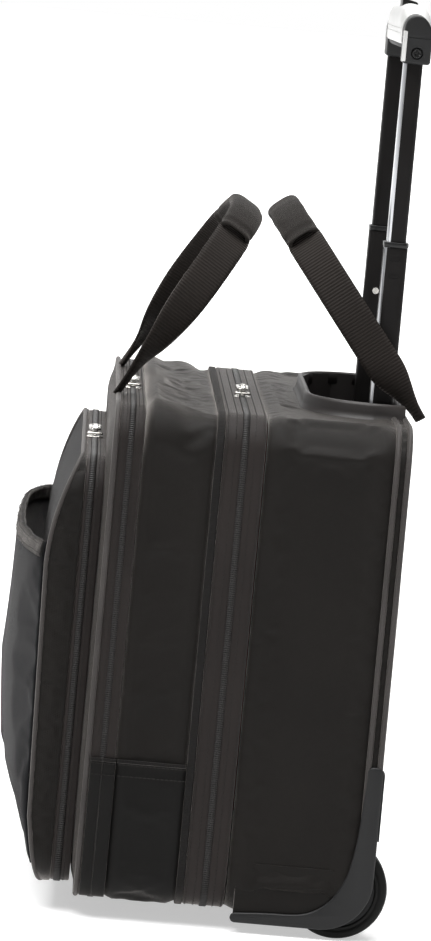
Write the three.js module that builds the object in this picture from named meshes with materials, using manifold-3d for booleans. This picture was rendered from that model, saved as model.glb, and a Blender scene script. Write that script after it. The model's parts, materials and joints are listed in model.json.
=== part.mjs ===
// A rolling laptop case on two wheels, with a two-stage telescopic trolley handle.
// Millimetres, +Z up, -Y the front with the pockets, +Y the back with the trolley, X across the case.
// The origin is on the floor, under the middle of the case's bounding box.
import * as THREE from "three";
import { mergeVertices } from "three/addons/utils/BufferGeometryUtils.js";
import Module from "manifold-3d";

const wasm = await Module();
wasm.setup();

// ---------- driving dimensions ----------
const HALF_WIDTH = 216; // fabric side panels
const BOTTOM_Z = 14;
const TOP_Z = 378;
const CORNER_R = 28;
const GAP = 0.3; // clearance between touching pieces
const PADDED_WALL = 5;
const THIN_WALL = 3;

// stations along Y, from the back panel to the front pocket
const BACK_Y = 137.5;
const MAIN_ZIP_Y = 15;
const MAIN_TAPE = 15;
const SECOND_ZIP_Y = -68;
const SMALL_TAPE = 9;
const LID_PANEL_Y = SECOND_ZIP_Y - SMALL_TAPE - 7.5;
const ORGANIZER_ZIP_Y = LID_PANEL_Y - SMALL_TAPE;
const ORGANIZER_BACK_Y = ORGANIZER_ZIP_Y - SMALL_TAPE;
const ORGANIZER_FRONT_Y = -127;
const POCKET_FRONT_Y = -149;

const ORGANIZER = { half: 200, bottom: 20, top: 337, radius: 30 };
const LID = { half: 214, bottom: 16, top: 377, radius: 28 };

const SLIP = { half: 190, bottom: 34, mouth: 272, fullest: 170, wall: 2.4, hem: 3 };

const WHEEL = { y: 112.25, radius: 36.75, width: 20, x: 200.5 };
const AXLE_R = 3.7;
const BEARING = { inner: 4, outer: 11, width: 14 };
const HOUSING = { inner: 39.8, outer: 42.3, x0: 186, side: 219.5, wall: 2.4 };
const GUARD = { low: 7.6, front: 35, back: 139.4, top: 132, curve: 37.5 };

const POLE_X = 107;
const POLE_Y = 117;
const OUTER_TUBE = { w: 25.3, d: 21.5, r: 5, wall: 1.2, z0: 30, z1: 332.7 };
const MIDDLE_TUBE = { w: 21.5, d: 17.7, r: 4.5, wall: 1.1, z0: 215, z1: 505 };
const INNER_TUBE = { w: 18.5, d: 14.3, r: 4, wall: 1.1, z0: 440, z1: 656 };
const COLLAR_TOP = 509;
const STOP_RIVET_Z = 458;
const CRIMP_ZS = [484, 497];
const TRAY = { floor: 333, deck: 336, rim: 388, wall: 2.5 };

const GRIP = { capLow: 642, capTop: 678, y: 118.5, depth: 21, half: 121, capWidth: 26, top: 685.5 };
const BUTTON = { half: 15, depth: 12, top: 690 };

const HANDLE = { half: 124, apexHalf: 62, webbing: 28, thick: 2.6, sleeveWide: 19, sleeveThick: 11 };
const HANDLE_SEWN = 4; // the webbing is folded to this width where it is sewn in
const HANDLE_TAPER = 64; // and is at its full width this far above
const HANDLE_APEX_Z = 520;
const FRONT_HANDLE = { footY: -78, footZ: 381, apexY: 9.5 };
const REAR_HANDLE = { footY: 139.5, footZ: 386, apexY: 32 };

// ---------- solids ----------
function solid(geometry) {
  const bare = geometry.index ? geometry.toNonIndexed() : geometry.clone();
  bare.deleteAttribute("normal");
  bare.deleteAttribute("uv");
  const merged = mergeVertices(bare, 1e-3);
  const mesh = new wasm.Mesh({
    numProp: 3,
    vertProperties: merged.attributes.position.array,
    triVerts: new Uint32Array(merged.index.array),
  });
  return new wasm.Manifold(mesh);
}

function geometryOf(manifold) {
  const mesh = manifold.getMesh();
  const geometry = new THREE.BufferGeometry();
  geometry.setAttribute("position", new THREE.BufferAttribute(new Float32Array(mesh.vertProperties), 3));
  geometry.setIndex(new THREE.BufferAttribute(new Uint32Array(mesh.triVerts), 1));
  const flat = geometry.toNonIndexed();
  flat.computeVertexNormals();
  return flat;
}

function extruded(shape, depth, segments = 3) {
  return new THREE.ExtrudeGeometry(shape, { depth, bevelEnabled: false, curveSegments: segments });
}

// An outline drawn as (x, z), pulled along Y.
function alongY(shape, y0, y1, segments) {
  const geometry = extruded(shape, y1 - y0, segments);
  geometry.rotateX(Math.PI / 2);
  geometry.translate(0, y1, 0);
  return solid(geometry);
}

// An outline drawn as (y, z), pulled along X.
function alongX(shape, x0, x1, segments) {
  const geometry = extruded(shape, x1 - x0, segments);
  const turn = new THREE.Matrix4().makeBasis(
    new THREE.Vector3(0, 1, 0),
    new THREE.Vector3(0, 0, 1),
    new THREE.Vector3(1, 0, 0),
  );
  geometry.applyMatrix4(turn);
  geometry.translate(x0, 0, 0);
  return solid(geometry);
}

// An outline drawn as (x, y), pulled along Z.
function alongZ(shape, z0, z1, segments) {
  const geometry = extruded(shape, z1 - z0, segments);
  geometry.translate(0, 0, z0);
  return solid(geometry);
}

function block(x0, x1, y0, y1, z0, z1) {
  const geometry = new THREE.BoxGeometry(x1 - x0, y1 - y0, z1 - z0);
  geometry.translate((x0 + x1) / 2, (y0 + y1) / 2, (z0 + z1) / 2);
  return solid(geometry);
}

// A round bar along X, Y or Z.
function bar(axis, radius, from, to, a, b, sides = 24) {
  const geometry = new THREE.CylinderGeometry(radius, radius, to - from, sides);
  const middle = (from + to) / 2;
  if (axis === "x") {
    geometry.rotateZ(-Math.PI / 2);
    geometry.translate(middle, a, b);
  } else if (axis === "y") {
    geometry.translate(a, middle, b);
  } else {
    geometry.rotateX(Math.PI / 2);
    geometry.translate(a, b, middle);
  }
  return solid(geometry);
}

// A rounded rectangle between two corners.
function roundedRect(a0, b0, a1, b1, r) {
  const shape = new THREE.Shape();
  shape.moveTo(a0 + r, b0);
  shape.lineTo(a1 - r, b0);
  shape.absarc(a1 - r, b0 + r, r, -Math.PI / 2, 0);
  shape.lineTo(a1, b1 - r);
  shape.absarc(a1 - r, b1 - r, r, 0, Math.PI / 2);
  shape.lineTo(a0 + r, b1);
  shape.absarc(a0 + r, b1 - r, r, Math.PI / 2, Math.PI);
  shape.lineTo(a0, b0 + r);
  shape.absarc(a0 + r, b0 + r, r, Math.PI, 1.5 * Math.PI);
  return shape;
}

function faceOutline(inset = 0, of = { half: HALF_WIDTH, bottom: BOTTOM_Z, top: TOP_Z, radius: CORNER_R }) {
  const half = of.half - inset;
  return roundedRect(-half, of.bottom + inset, half, of.top - inset, of.radius - inset);
}

// A hoop of fabric that follows the case's outline.
function hoop(y0, y1, wall, of) {
  return alongY(faceOutline(0, of), y0, y1).subtract(alongY(faceOutline(wall, of), y0 - 1, y1 + 1));
}

function tube(size, x, y) {
  const { w, d, r, wall, z0, z1 } = size;
  const outside = roundedRect(x - w / 2, y - d / 2, x + w / 2, y + d / 2, r);
  return alongZ(outside, z0, z1, 2).subtract(tubeBore(size, x, y, z0 - 1, z1 + 1));
}

function tubeBore(size, x, y, z0, z1, grow = 0) {
  const halfW = size.w / 2 - size.wall + grow;
  const halfD = size.d / 2 - size.wall + grow;
  const corner = size.r - size.wall + grow;
  return alongZ(roundedRect(x - halfW, y - halfD, x + halfW, y + halfD, corner), z0, z1, 2);
}

function roundedBlock(x, y, w, d, r, z0, z1) {
  return alongZ(roundedRect(x - w / 2, y - d / 2, x + w / 2, y + d / 2, r), z0, z1, 2);
}

// ---------- the assembly ----------
const looks = {
  fabric: { color: 0x2b2a29, roughness: 0.85, metalness: 0 },
  pocketFabric: { color: 0x35363a, roughness: 0.75, metalness: 0 },
  tape: { color: 0x3a3533, roughness: 0.8, metalness: 0 },
  lining: { color: 0x6d2320, roughness: 0.8, metalness: 0 },
  plastic: { color: 0x2a2b2d, roughness: 0.5, metalness: 0 },
  rubber: { color: 0x25261f, roughness: 0.7, metalness: 0 },
  webbing: { color: 0x2c2825, roughness: 0.9, metalness: 0 },
  alloy: { color: 0xb9bcc0, roughness: 0.35, metalness: 1 },
  silver: { color: 0xd6d7d8, roughness: 0.35, metalness: 0.4 },
  steel: { color: 0x9b9da0, roughness: 0.4, metalness: 1 },
  nickel: { color: 0xd9d8d2, roughness: 0.25, metalness: 1 },
};
const materials = Object.fromEntries(
  Object.entries(looks).map(([name, look]) => [name, new THREE.MeshStandardMaterial(look)]),
);

const laptopCase = new THREE.Group();

function add(name, shape, look, parent = laptopCase) {
  const geometry = shape.isBufferGeometry ? shape : geometryOf(shape);
  const mesh = new THREE.Mesh(geometry, materials[look]);
  mesh.name = name;
  parent.add(mesh);
  return mesh;
}

const SIDES = [
  ["left", -1],
  ["right", 1],
];

// A right-hand solid, or its mirror image.
function onSide(side, shape) {
  return side > 0 ? shape : shape.mirror([1, 0, 0]);
}

// ---------- rear compartment ----------
// The trolley tray's plan: widest along the back, narrowing to a rounded front.
function trayOutline(grow) {
  const back = 133.4 + grow;
  const wide = 130 + grow;
  const front = 62 - grow;
  const shape = new THREE.Shape();
  shape.moveTo(-wide, back);
  shape.lineTo(-wide, 112);
  shape.bezierCurveTo(-wide, 90, -118 - grow, front, -70, front);
  shape.lineTo(70, front);
  shape.bezierCurveTo(118 + grow, front, wide, 90, wide, 112);
  shape.lineTo(wide, back);
  return shape;
}

// The round space that each wheel housing takes out of the case's lower back corners.
function housingRoom(side) {
  const room = bar("x", HOUSING.outer + GAP + 0.2, HOUSING.x0 - GAP, 230, WHEEL.y, WHEEL.radius, 30);
  return onSide(side, room);
}

function buildRearCompartment() {
  let gusset = hoop(MAIN_ZIP_Y + MAIN_TAPE + GAP, BACK_Y - 4 - GAP, PADDED_WALL);
  gusset = gusset.subtract(alongZ(trayOutline(GAP), 360, 400));
  let back = alongY(faceOutline(), BACK_Y - 4, BACK_Y);
  for (const [, side] of SIDES) {
    gusset = gusset.subtract(housingRoom(side));
    back = back.subtract(housingRoom(side));
  }
  add("rear_gusset", gusset, "fabric");
  add("back_panel", back, "fabric");

  // The open-topped slip pocket on the back panel, a sheet held off it by its side and bottom seams.
  const pocketIn = roundedRect(-146, 226, 146, 350, 14);
  const pocket = alongY(roundedRect(-150, 222, 150, 345, 18), BACK_Y + GAP, BACK_Y + 4.8);
  add("back_pocket", pocket.subtract(alongY(pocketIn, BACK_Y - 1, BACK_Y + 3.2)), "fabric");

  add("main_zip_tape_rear", hoop(MAIN_ZIP_Y + 0.2, MAIN_ZIP_Y + MAIN_TAPE, THIN_WALL), "tape");
}

function buildInnerFrame() {
  const board = alongY(roundedRect(-178, 24, 178, 328, 12), 129, 131);
  add("back_board", board, "plastic");
  add("base_board", block(-178, 178, 34, 100.5, 19.5, 22), "plastic");
  // The padded laptop sleeve: a deep pouch that stands against the cover board.
  const pouch = block(-180, 180, 60, 98, 22.5, 300);
  add("laptop_sleeve", pouch.subtract(block(-177, 177, 63, 95, 26, 301)), "lining");
}

function buildTray() {
  let tray = alongZ(trayOutline(0), TRAY.floor, TRAY.rim);
  tray = tray.subtract(alongZ(trayOutline(-TRAY.wall), TRAY.deck, TRAY.rim + 5));
  for (const [, side] of SIDES) {
    const x = side * POLE_X;
    const { w, d } = MIDDLE_TUBE;
    tray = tray.subtract(roundedBlock(x, POLE_Y, w + 0.7, d + 0.7, 4.8, TRAY.floor - 1, TRAY.deck + 1));
    // A notch in each guide lets the stop rivet on the middle tube through.
    const faceX = x - side * (MIDDLE_TUBE.w / 2);
    const [low, high] = [TRAY.floor - 1, TRAY.deck + 1];
    tray = tray.subtract(block(faceX - 1.1, faceX + 1.1, POLE_Y - 3.6, POLE_Y + 3.6, low, high));
  }
  add("trolley_tray", tray, "plastic");
}

// ---------- wheels ----------
// The J-shaped corner guard: up the back edge, round the wheel and forward along the bottom edge.
function guardOutline() {
  const { low, front, back, top, curve } = GUARD;
  const rear = back - 1.6;
  const shape = new THREE.Shape();
  shape.moveTo(front + 3, low);
  shape.lineTo(rear - curve, low);
  shape.absarc(rear - curve, low + curve, curve, -Math.PI / 2, 0);
  shape.lineTo(rear, top - 6);
  shape.absarc(rear - 6, top - 6, 6, 0, Math.PI / 2);
  shape.absarc(rear - 8, top - 6, 6, Math.PI / 2, Math.PI);
  shape.bezierCurveTo(125, 90, 122, 70, 119.5, 56);
  shape.bezierCurveTo(114, 32, 98, 17, 60, 16.5);
  shape.lineTo(front + 3, 14.6);
  shape.absarc(front + 3, low + 3.5, 3.5, Math.PI / 2, 1.5 * Math.PI);
  return shape;
}

function buildWheelHousing(name, side) {
  const { inner, outer, x0, side: skin, wall } = HOUSING;
  const axleZ = WHEEL.radius;
  // Everything that wraps the wheel stays inside the case's outline, above the guard's lower edge.
  const inside = block(x0 - 1, 230, 60, BACK_Y - 0.5, GUARD.low, 90);
  const cheekX = HALF_WIDTH - 0.6;
  let housing = bar("x", outer, x0, cheekX, WHEEL.y, axleZ, 30);
  housing = housing.subtract(bar("x", inner, x0 + wall, cheekX - 3, WHEEL.y, axleZ, 30));
  housing = housing.intersect(inside);
  housing = housing.subtract(bar("x", AXLE_R + GAP, x0 - 2, 230, WHEEL.y, axleZ, 12));
  const wheelOpening = block(x0 + wall, 214, 60, 170, -10, GUARD.low + 0.01);
  housing = housing.subtract(wheelOpening);
  // The outer cheek is cut back to the guard's curve, so the wheel shows past it.
  const guardBack = new THREE.Shape();
  const rear = GUARD.back - 1.6;
  const { curve, low } = GUARD;
  guardBack.moveTo(rear - curve, low - 20);
  guardBack.lineTo(rear + 40, low - 20);
  guardBack.lineTo(rear + 40, low + curve);
  guardBack.lineTo(rear, low + curve);
  guardBack.absarc(rear - curve, low + curve, curve, 0, -Math.PI / 2, true);
  housing = housing.subtract(alongX(guardBack, x0 - 2, 230, 5));
  const skinPlate = alongX(guardOutline(), cheekX - 1, skin, 5);
  const overFabric = alongX(guardOutline(), HALF_WIDTH + GAP, skin, 5);
  const skinNearWheel = skinPlate.intersect(bar("x", outer, 200, 230, WHEEL.y, axleZ, 30));
  housing = housing.add(skinNearWheel).add(overFabric);
  // Flanges under the bottom edge and up the back edge.
  housing = housing.add(block(200, skin - 1, GUARD.front + 3, 73, GUARD.low, BOTTOM_Z - GAP));
  housing = housing.add(block(199, skin - 1, BACK_Y + GAP, GUARD.back, 75, GUARD.top - 4));
  housing = housing.add(block(HALF_WIDTH + GAP, skin - 0.5, 131, GUARD.back - 0.4, 75, GUARD.top - 4));
  add(`wheel_housing_${name}`, onSide(side, housing), "plastic");
}

function lathe(points, side, sides = 24) {
  // Profile points are (offset along X from the wheel's middle, radius); the profile closes on itself.
  const profile = points.map(([x, r]) => new THREE.Vector2(r, x));
  profile.push(profile[0].clone());
  const geometry = new THREE.LatheGeometry(profile, sides);
  geometry.rotateZ(-Math.PI / 2);
  geometry.translate(side * WHEEL.x, WHEEL.y, WHEEL.radius);
  return solid(geometry);
}

function buildWheel(name, side) {
  const half = WHEEL.width / 2;
  const R = WHEEL.radius;
  const tyre = [
    [-half + 3, R],
    [-half, R - 3],
    [-half, 27.5],
    [half, 27.5],
    [half, 29.5],
    [half - 1, 30.3],
    [half, 31.2],
    [half, R - 3],
    [half - 3, R],
  ];
  add(`tyre_${name}`, lathe(mirrored(tyre, side), side, 32), "rubber");
  const hub = [
    [-half + 1, 27.2],
    [-half + 1, 24.5],
    [-2.5, 22],
    [-2.5, 14],
    [-half + 2, 14],
    [-half + 2, BEARING.outer + GAP],
    [half - 2, BEARING.outer + GAP],
    [half - 2, 14],
    [1.5, 14],
    [1.5, 22],
    [half - 2, 24.5],
    [half - 2, 27.2],
  ];
  add(`wheel_hub_${name}`, lathe(mirrored(hub, side), side), "plastic");
  const ring = [
    [-BEARING.width / 2, BEARING.inner],
    [BEARING.width / 2, BEARING.inner],
    [BEARING.width / 2, BEARING.outer],
    [-BEARING.width / 2, BEARING.outer],
  ];
  add(`bearing_${name}`, lathe(mirrored(ring, side), side, 16), "steel");
  const head = bar("x", 6.2, 182.2, HOUSING.x0 - GAP, WHEEL.y, R, 16);
  const shank = bar("x", AXLE_R, 183, HALF_WIDTH - 2, WHEEL.y, R, 12);
  add(`axle_${name}`, onSide(side, head.add(shank)), "steel");
}

// A wheel profile drawn for the right side, or turned over for the left; the winding stays the same.
function mirrored(points, side) {
  return side > 0 ? [...points].reverse() : points.map(([x, r]) => [-x, r]);
}

function buildFoot(name, side) {
  const plan = roundedRect(side * 100 - 17, 20, side * 100 + 17, 46, 8);
  const flange = alongZ(plan, 9, BOTTOM_Z - GAP, 4);
  const padPlan = roundedRect(side * 100 - 13, 24, side * 100 + 13, 42, 6);
  add(`front_foot_${name}`, flange.add(alongZ(padPlan, 0, 9.5, 4)), "rubber");
}

// ---------- trolley ----------
// One moulded bracket across the bottom holds the feet of both outer tubes.
function buildTubeBase() {
  const low = 22.6;
  let base = block(-POLE_X - 20, POLE_X + 20, 104, 128.6, low, OUTER_TUBE.z0 - GAP);
  for (const [, side] of SIDES) {
    base = base.add(tubeBore(OUTER_TUBE, side * POLE_X, POLE_Y, low + 1, OUTER_TUBE.z0 + 8, -GAP));
    base = base.subtract(bar("z", 2.2, low - 1, OUTER_TUBE.z0 + 1, side * 80, POLE_Y, 12));
  }
  add("tube_base", base, "plastic");
}

function buildMiddleStage(name, side) {
  const x = side * POLE_X;
  let middle = tube(MIDDLE_TUBE, x, POLE_Y);
  const faceX = x - side * (MIDDLE_TUBE.w / 2);
  middle = middle.subtract(bar("x", 2.3, faceX - 2, faceX + 2, POLE_Y, STOP_RIVET_Z, 12));
  // Two shallow crimps on the outer face hold the collar.
  const outerFace = x + side * (MIDDLE_TUBE.w / 2);
  for (const z of CRIMP_ZS) {
    const crimp = block(outerFace - 0.4, outerFace + 0.4, POLE_Y - 3.5, POLE_Y + 3.5, z - 2, z + 2);
    middle = middle.subtract(crimp);
  }
  add(`middle_tube_${name}`, middle, "alloy");
  const tip = bar("x", 2.6, 0.05, 0.4, POLE_Y, STOP_RIVET_Z, 12).add(
    bar("x", 2.0, -0.6, 0.2, POLE_Y, STOP_RIVET_Z, 12),
  );
  const placed = side > 0 ? tip.mirror([1, 0, 0]) : tip;
  add(`stop_rivet_${name}`, placed.translate([faceX, 0, 0]), "nickel");
  let collar = roundedBlock(x, POLE_Y, 23.3, 19.5, 5, MIDDLE_TUBE.z1 + GAP, COLLAR_TOP);
  collar = collar.subtract(roundedBlock(x, POLE_Y, INNER_TUBE.w + 0.6, INNER_TUBE.d + 0.6, 4.2, 0, 600));
  add(`middle_collar_${name}`, collar, "plastic");
  const plug = roundedBlock(x, POLE_Y, 22.1, 18.3, 4.5, MIDDLE_TUBE.z0 - 5, MIDDLE_TUBE.z0 - GAP);
  const spigot = tubeBore(MIDDLE_TUBE, x, POLE_Y, MIDDLE_TUBE.z0 - 1, MIDDLE_TUBE.z0 + 24, -GAP);
  add(`middle_glide_${name}`, plug.add(spigot), "plastic");
}

function buildInnerStage(name, side) {
  const x = side * POLE_X;
  let inner = tube(INNER_TUBE, x, POLE_Y);
  const faceX = x - side * (INNER_TUBE.w / 2);
  inner = inner.subtract(bar("x", 3, faceX - 2, faceX + 2, POLE_Y, STOP_RIVET_Z, 12));
  add(`inner_tube_${name}`, inner, "alloy");
  const plug = roundedBlock(x, POLE_Y, 18.7, 14.9, 4, 434, INNER_TUBE.z0 - GAP);
  let glide = plug.add(tubeBore(INNER_TUBE, x, POLE_Y, 439, 474, -GAP));
  glide = glide.subtract(bar("z", 2.7, 461, 480, x, POLE_Y, 12));
  const pinRoom = bar("x", 2.9, -20, 4, POLE_Y, STOP_RIVET_Z, 12);
  glide = glide.subtract((side > 0 ? pinRoom : pinRoom.mirror([1, 0, 0])).translate([x, 0, 0]));
  add(`inner_glide_${name}`, glide, "plastic");
}

// The grip's cross-section as (y, z): upright sides and a rounded top that leans to the front.
function gripSection(low, top, depth, inset = 0) {
  const y0 = GRIP.y - depth / 2 + inset;
  const y1 = GRIP.y + depth / 2 - inset;
  const shoulder = top - 14;
  const shape = new THREE.Shape();
  shape.moveTo(y0, low);
  shape.lineTo(y1, low);
  shape.lineTo(y1, shoulder - inset);
  shape.bezierCurveTo(y1, top - 5 - inset, y1 - 6, top - inset, GRIP.y - 1.5, top - inset);
  shape.bezierCurveTo(y0 + 4, top - inset, y0, top - 5 - inset, y0, shoulder - inset);
  return shape;
}

function buildGrip() {
  const capIn = GRIP.half - GRIP.capWidth;
  for (const [name, side] of SIDES) {
    let cap = alongX(gripSection(GRIP.capLow, GRIP.capTop, GRIP.depth), capIn, GRIP.half, 5);
    cap = cap.subtract(
      roundedBlock(POLE_X, POLE_Y, INNER_TUBE.w + 0.6, INNER_TUBE.d + 0.6, 4.2, 0, INNER_TUBE.z1 + GAP),
    );
    cap = cap.subtract(block(capIn - 1, POLE_X + 5, POLE_Y - 4, POLE_Y + 4, INNER_TUBE.z1 - 1, 672.5));
    cap = cap.subtract(bar("x", 4.3, GRIP.half - 3.2, GRIP.half + 1, GRIP.y, 650, 20));
    cap = cap.subtract(bar("x", 2.0, 118, GRIP.half + 1, GRIP.y, 650, 12));
    add(`grip_cap_${name}`, onSide(side, cap), "plastic");
    const screw = bar("x", 3.9, GRIP.half - 2.8, GRIP.half - 1, GRIP.y, 650, 20);
    const cross = block(GRIP.half - 1.8, GRIP.half, GRIP.y - 0.5, GRIP.y + 0.5, 647.6, 652.4).add(
      block(GRIP.half - 1.8, GRIP.half, GRIP.y - 2.4, GRIP.y + 2.4, 649.5, 650.5),
    );
    add(`grip_screw_${name}`, onSide(side, screw.subtract(cross)), "steel");
  }
  const reach = capIn - GAP;
  const depth = GRIP.depth + 3;
  let shell = alongX(gripSection(656, GRIP.top, depth), -reach, reach, 6);
  shell = shell.subtract(alongX(gripSection(640, GRIP.top, depth, 2.4), -reach - 1, reach + 1, 6));
  const window = roundedRect(
    -BUTTON.half - 0.5,
    GRIP.y - 2 - BUTTON.depth / 2 - 0.5,
    BUTTON.half + 0.5,
    GRIP.y - 2 + BUTTON.depth / 2 + 0.5,
    5,
  );
  shell = shell.subtract(alongZ(window, 675, 700, 3));
  add("grip_shell", shell, "silver");
  const y0 = GRIP.y - depth / 2 + 2.4 + GAP;
  const y1 = GRIP.y + depth / 2 - 2.4 - GAP;
  add("grip_underside", alongX(roundedRect(y0, 652, y1, 661, 3), -reach, reach, 4), "rubber");

  const plan = roundedRect(
    -BUTTON.half,
    GRIP.y - 2 - BUTTON.depth / 2,
    BUTTON.half,
    GRIP.y - 2 + BUTTON.depth / 2,
    4.5,
  );
  add("release_button", alongZ(plan, 671.8, BUTTON.top, 3), "plastic");
  // The button pushes a cross bar whose two rods reach the locks at the foot of the inner tubes.
  let yoke = block(-POLE_X - 4, POLE_X + 4, POLE_Y - 3, POLE_Y + 3, 667, 671.5);
  for (const [, side] of SIDES) {
    yoke = yoke.add(bar("z", 2, 465.5, 668, side * POLE_X, POLE_Y, 10));
  }
  add("release_yoke", yoke, "steel");
}

// ---------- front compartments ----------
function buildSecondCompartment() {
  add("main_zip_tape_front", hoop(MAIN_ZIP_Y - MAIN_TAPE, MAIN_ZIP_Y - 0.2, THIN_WALL), "tape");
  const back = MAIN_ZIP_Y - MAIN_TAPE - GAP;
  const front = SECOND_ZIP_Y + SMALL_TAPE + GAP;
  const walls = hoop(front, back, PADDED_WALL);
  add("second_compartment", walls.add(alongY(faceOutline(1), back - 4, back)), "fabric");
  const tapeBack = SECOND_ZIP_Y + SMALL_TAPE;
  add("second_zip_tape_rear", hoop(SECOND_ZIP_Y + 0.2, tapeBack, THIN_WALL), "tape");
}

function buildSecondLid() {
  add("second_zip_tape_front", hoop(SECOND_ZIP_Y - SMALL_TAPE, SECOND_ZIP_Y - 0.2, THIN_WALL), "tape");
  const panel = alongY(faceOutline(0, LID), LID_PANEL_Y, SECOND_ZIP_Y - SMALL_TAPE - GAP);
  const recess = alongY(faceOutline(PADDED_WALL, LID), LID_PANEL_Y + 4, SECOND_ZIP_Y);
  // The rear half of the organizer's zip gusset is sewn to the lid panel.
  const gusset = hoop(ORGANIZER_ZIP_Y + 0.2, LID_PANEL_Y + 1, THIN_WALL, ORGANIZER);
  add("second_lid", panel.subtract(recess).add(gusset), "fabric");
}

// The organizer's side view as (y, z): flat at the back, rounded at the top and bottom of its front.
function organizerSection(back, inset) {
  const front = ORGANIZER_FRONT_Y + inset;
  const top = ORGANIZER.top - inset;
  const bottom = ORGANIZER.bottom + inset;
  const shape = new THREE.Shape();
  shape.moveTo(back, bottom);
  shape.lineTo(back, top);
  shape.bezierCurveTo(front + 6, top, front + 4, top - 12, front, top - 60);
  shape.lineTo(front, bottom + 30);
  shape.bezierCurveTo(front, bottom + 8, front + 8, bottom + 2, back, bottom);
  return shape;
}

function buildOrganizer() {
  const gusset = hoop(ORGANIZER_BACK_Y - 2, ORGANIZER_ZIP_Y - 0.2, THIN_WALL, ORGANIZER);
  const back = ORGANIZER_BACK_Y - GAP;
  const { half } = ORGANIZER;
  const body = (open, inset) => {
    const outline = alongY(faceOutline(inset, ORGANIZER), POCKET_FRONT_Y - 5, LID_PANEL_Y);
    return alongX(organizerSection(back + open, inset), -half, half, 4).intersect(outline);
  };
  add("organizer_pocket", body(0, 0).subtract(body(1, THIN_WALL)).add(gusset), "pocketFabric");
}

// The outer slip pocket is a sheet that bows forward from the organizer's front, open along its top.
// The room that the pocket fills, or with an inset, the room inside it, which runs out past its mouth
// and its back.
function slipRoom(inset, past) {
  const front = POCKET_FRONT_Y + (inset ? SLIP.wall : 0);
  const half = SLIP.half - inset;
  const seam = ORGANIZER_FRONT_Y - GAP;
  const plan = new THREE.Shape();
  plan.moveTo(-half, seam + past);
  plan.lineTo(-half, seam - 1);
  plan.bezierCurveTo(-half + 40, front, -90, front, 0, front);
  plan.bezierCurveTo(90, front, half - 40, front, half, seam - 1);
  plan.lineTo(half, seam + past);
  const bottom = SLIP.bottom + inset;
  const top = SLIP.mouth + 2.5 * past;
  const side = new THREE.Shape();
  side.moveTo(seam + past, bottom);
  side.lineTo(seam + past, top);
  side.lineTo(front + 3, top);
  side.lineTo(front, SLIP.fullest);
  side.bezierCurveTo(front, 90, front + 6, 50, seam + past - 4, bottom);
  const bow = alongZ(plan, SLIP.bottom - 4, SLIP.mouth + 8, 6);
  return alongX(side, -SLIP.half, SLIP.half, 6).intersect(bow);
}

function buildSlipPocket() {
  add("slip_pocket", slipRoom(0, 0).subtract(slipRoom(SLIP.hem, 2)), "pocketFabric");
}

// ---------- carry handles ----------
// Each handle is an arch of webbing in a plane that leans over the case, with a folded sleeve at the top.
function archPoints(length) {
  const { half, apexHalf } = HANDLE;
  const right = [
    [half, 0],
    [half - 0.5, length * 0.3],
    [half - 4, length * 0.56],
    [half - 22, length * 0.8],
    [apexHalf + 8, length * 0.94],
    [apexHalf - 26, length * 0.995],
  ];
  const left = right.map(([u, v]) => [-u, v]).reverse();
  return [...right, [0, length], ...left].map(([u, v]) => new THREE.Vector2(u, v));
}

function ribbon(curve, from, to, thick, steps) {
  const outer = [];
  const inner = [];
  for (let i = 0; i <= steps; i += 1) {
    const t = from + ((to - from) * i) / steps;
    const p = curve.getPointAt(t);
    const tangent = curve.getTangentAt(t);
    const normal = new THREE.Vector2(tangent.y, -tangent.x).multiplyScalar(thick / 2);
    outer.push(p.clone().add(normal));
    inner.push(p.clone().sub(normal));
  }
  return new THREE.Shape([...outer, ...inner.reverse()]);
}

// The plane that a handle lies in: across the case, and up towards the handle's top.
function handlePlane({ footY, footZ, apexY }) {
  const across = new THREE.Vector3(1, 0, 0);
  const lean = new THREE.Vector3(0, apexY - footY, HANDLE_APEX_Z - footZ);
  const length = lean.length();
  lean.normalize();
  const foot = new THREE.Vector3(0, footY, footZ);
  return { across, lean, out: across.clone().cross(lean), length, foot };
}

function leaned(shape, width, plane) {
  const geometry = extruded(shape, width, 1);
  geometry.translate(0, 0, -width / 2);
  geometry.applyMatrix4(new THREE.Matrix4().makeBasis(plane.across, plane.lean, plane.out));
  geometry.translate(...plane.foot);
  return solid(geometry);
}

// All that lies within a handle's width, which narrows towards its two sewn ends.
function taperedWidth(plane) {
  const half = HANDLE.webbing / 2;
  const past = plane.length + 20;
  const shape = new THREE.Shape();
  shape.moveTo(-1, -HANDLE_SEWN / 2);
  shape.lineTo(HANDLE_TAPER, -half);
  shape.lineTo(past, -half);
  shape.lineTo(past, half);
  shape.lineTo(HANDLE_TAPER, half);
  shape.lineTo(-1, HANDLE_SEWN / 2);
  const geometry = extruded(shape, 4 * HANDLE.half, 1);
  geometry.translate(0, 0, -2 * HANDLE.half);
  geometry.applyMatrix4(new THREE.Matrix4().makeBasis(plane.lean, plane.out, plane.across));
  geometry.translate(...plane.foot);
  return solid(geometry);
}

function buildHandle(name, ends) {
  const plane = handlePlane(ends);
  const curve = new THREE.SplineCurve(archPoints(plane.length));
  const strap = leaned(ribbon(curve, 0, 1, HANDLE.thick, 28), HANDLE.webbing, plane);
  const sleeveRange = [0.34, 0.66];
  const narrow = leaned(ribbon(curve, 0, 1, 40, 28), HANDLE.sleeveWide - 6, plane);
  const keepWide = leaned(ribbon(curve, sleeveRange[0] - 0.01, sleeveRange[1] + 0.01, 40, 12), 60, plane);
  // Inside the sleeve the webbing is folded to half its width.
  const folded = strap.subtract(keepWide.subtract(narrow));
  add(`${name}_webbing`, folded.intersect(taperedWidth(plane)), "webbing");
  const sleeve = leaned(ribbon(curve, ...sleeveRange, HANDLE.sleeveThick, 12), HANDLE.sleeveWide, plane);
  const channel = leaned(ribbon(curve, 0, 1, HANDLE.thick + 0.8, 28), HANDLE.sleeveWide - 5, plane);
  add(`${name}_sleeve`, sleeve.subtract(channel), "webbing");
}

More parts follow.
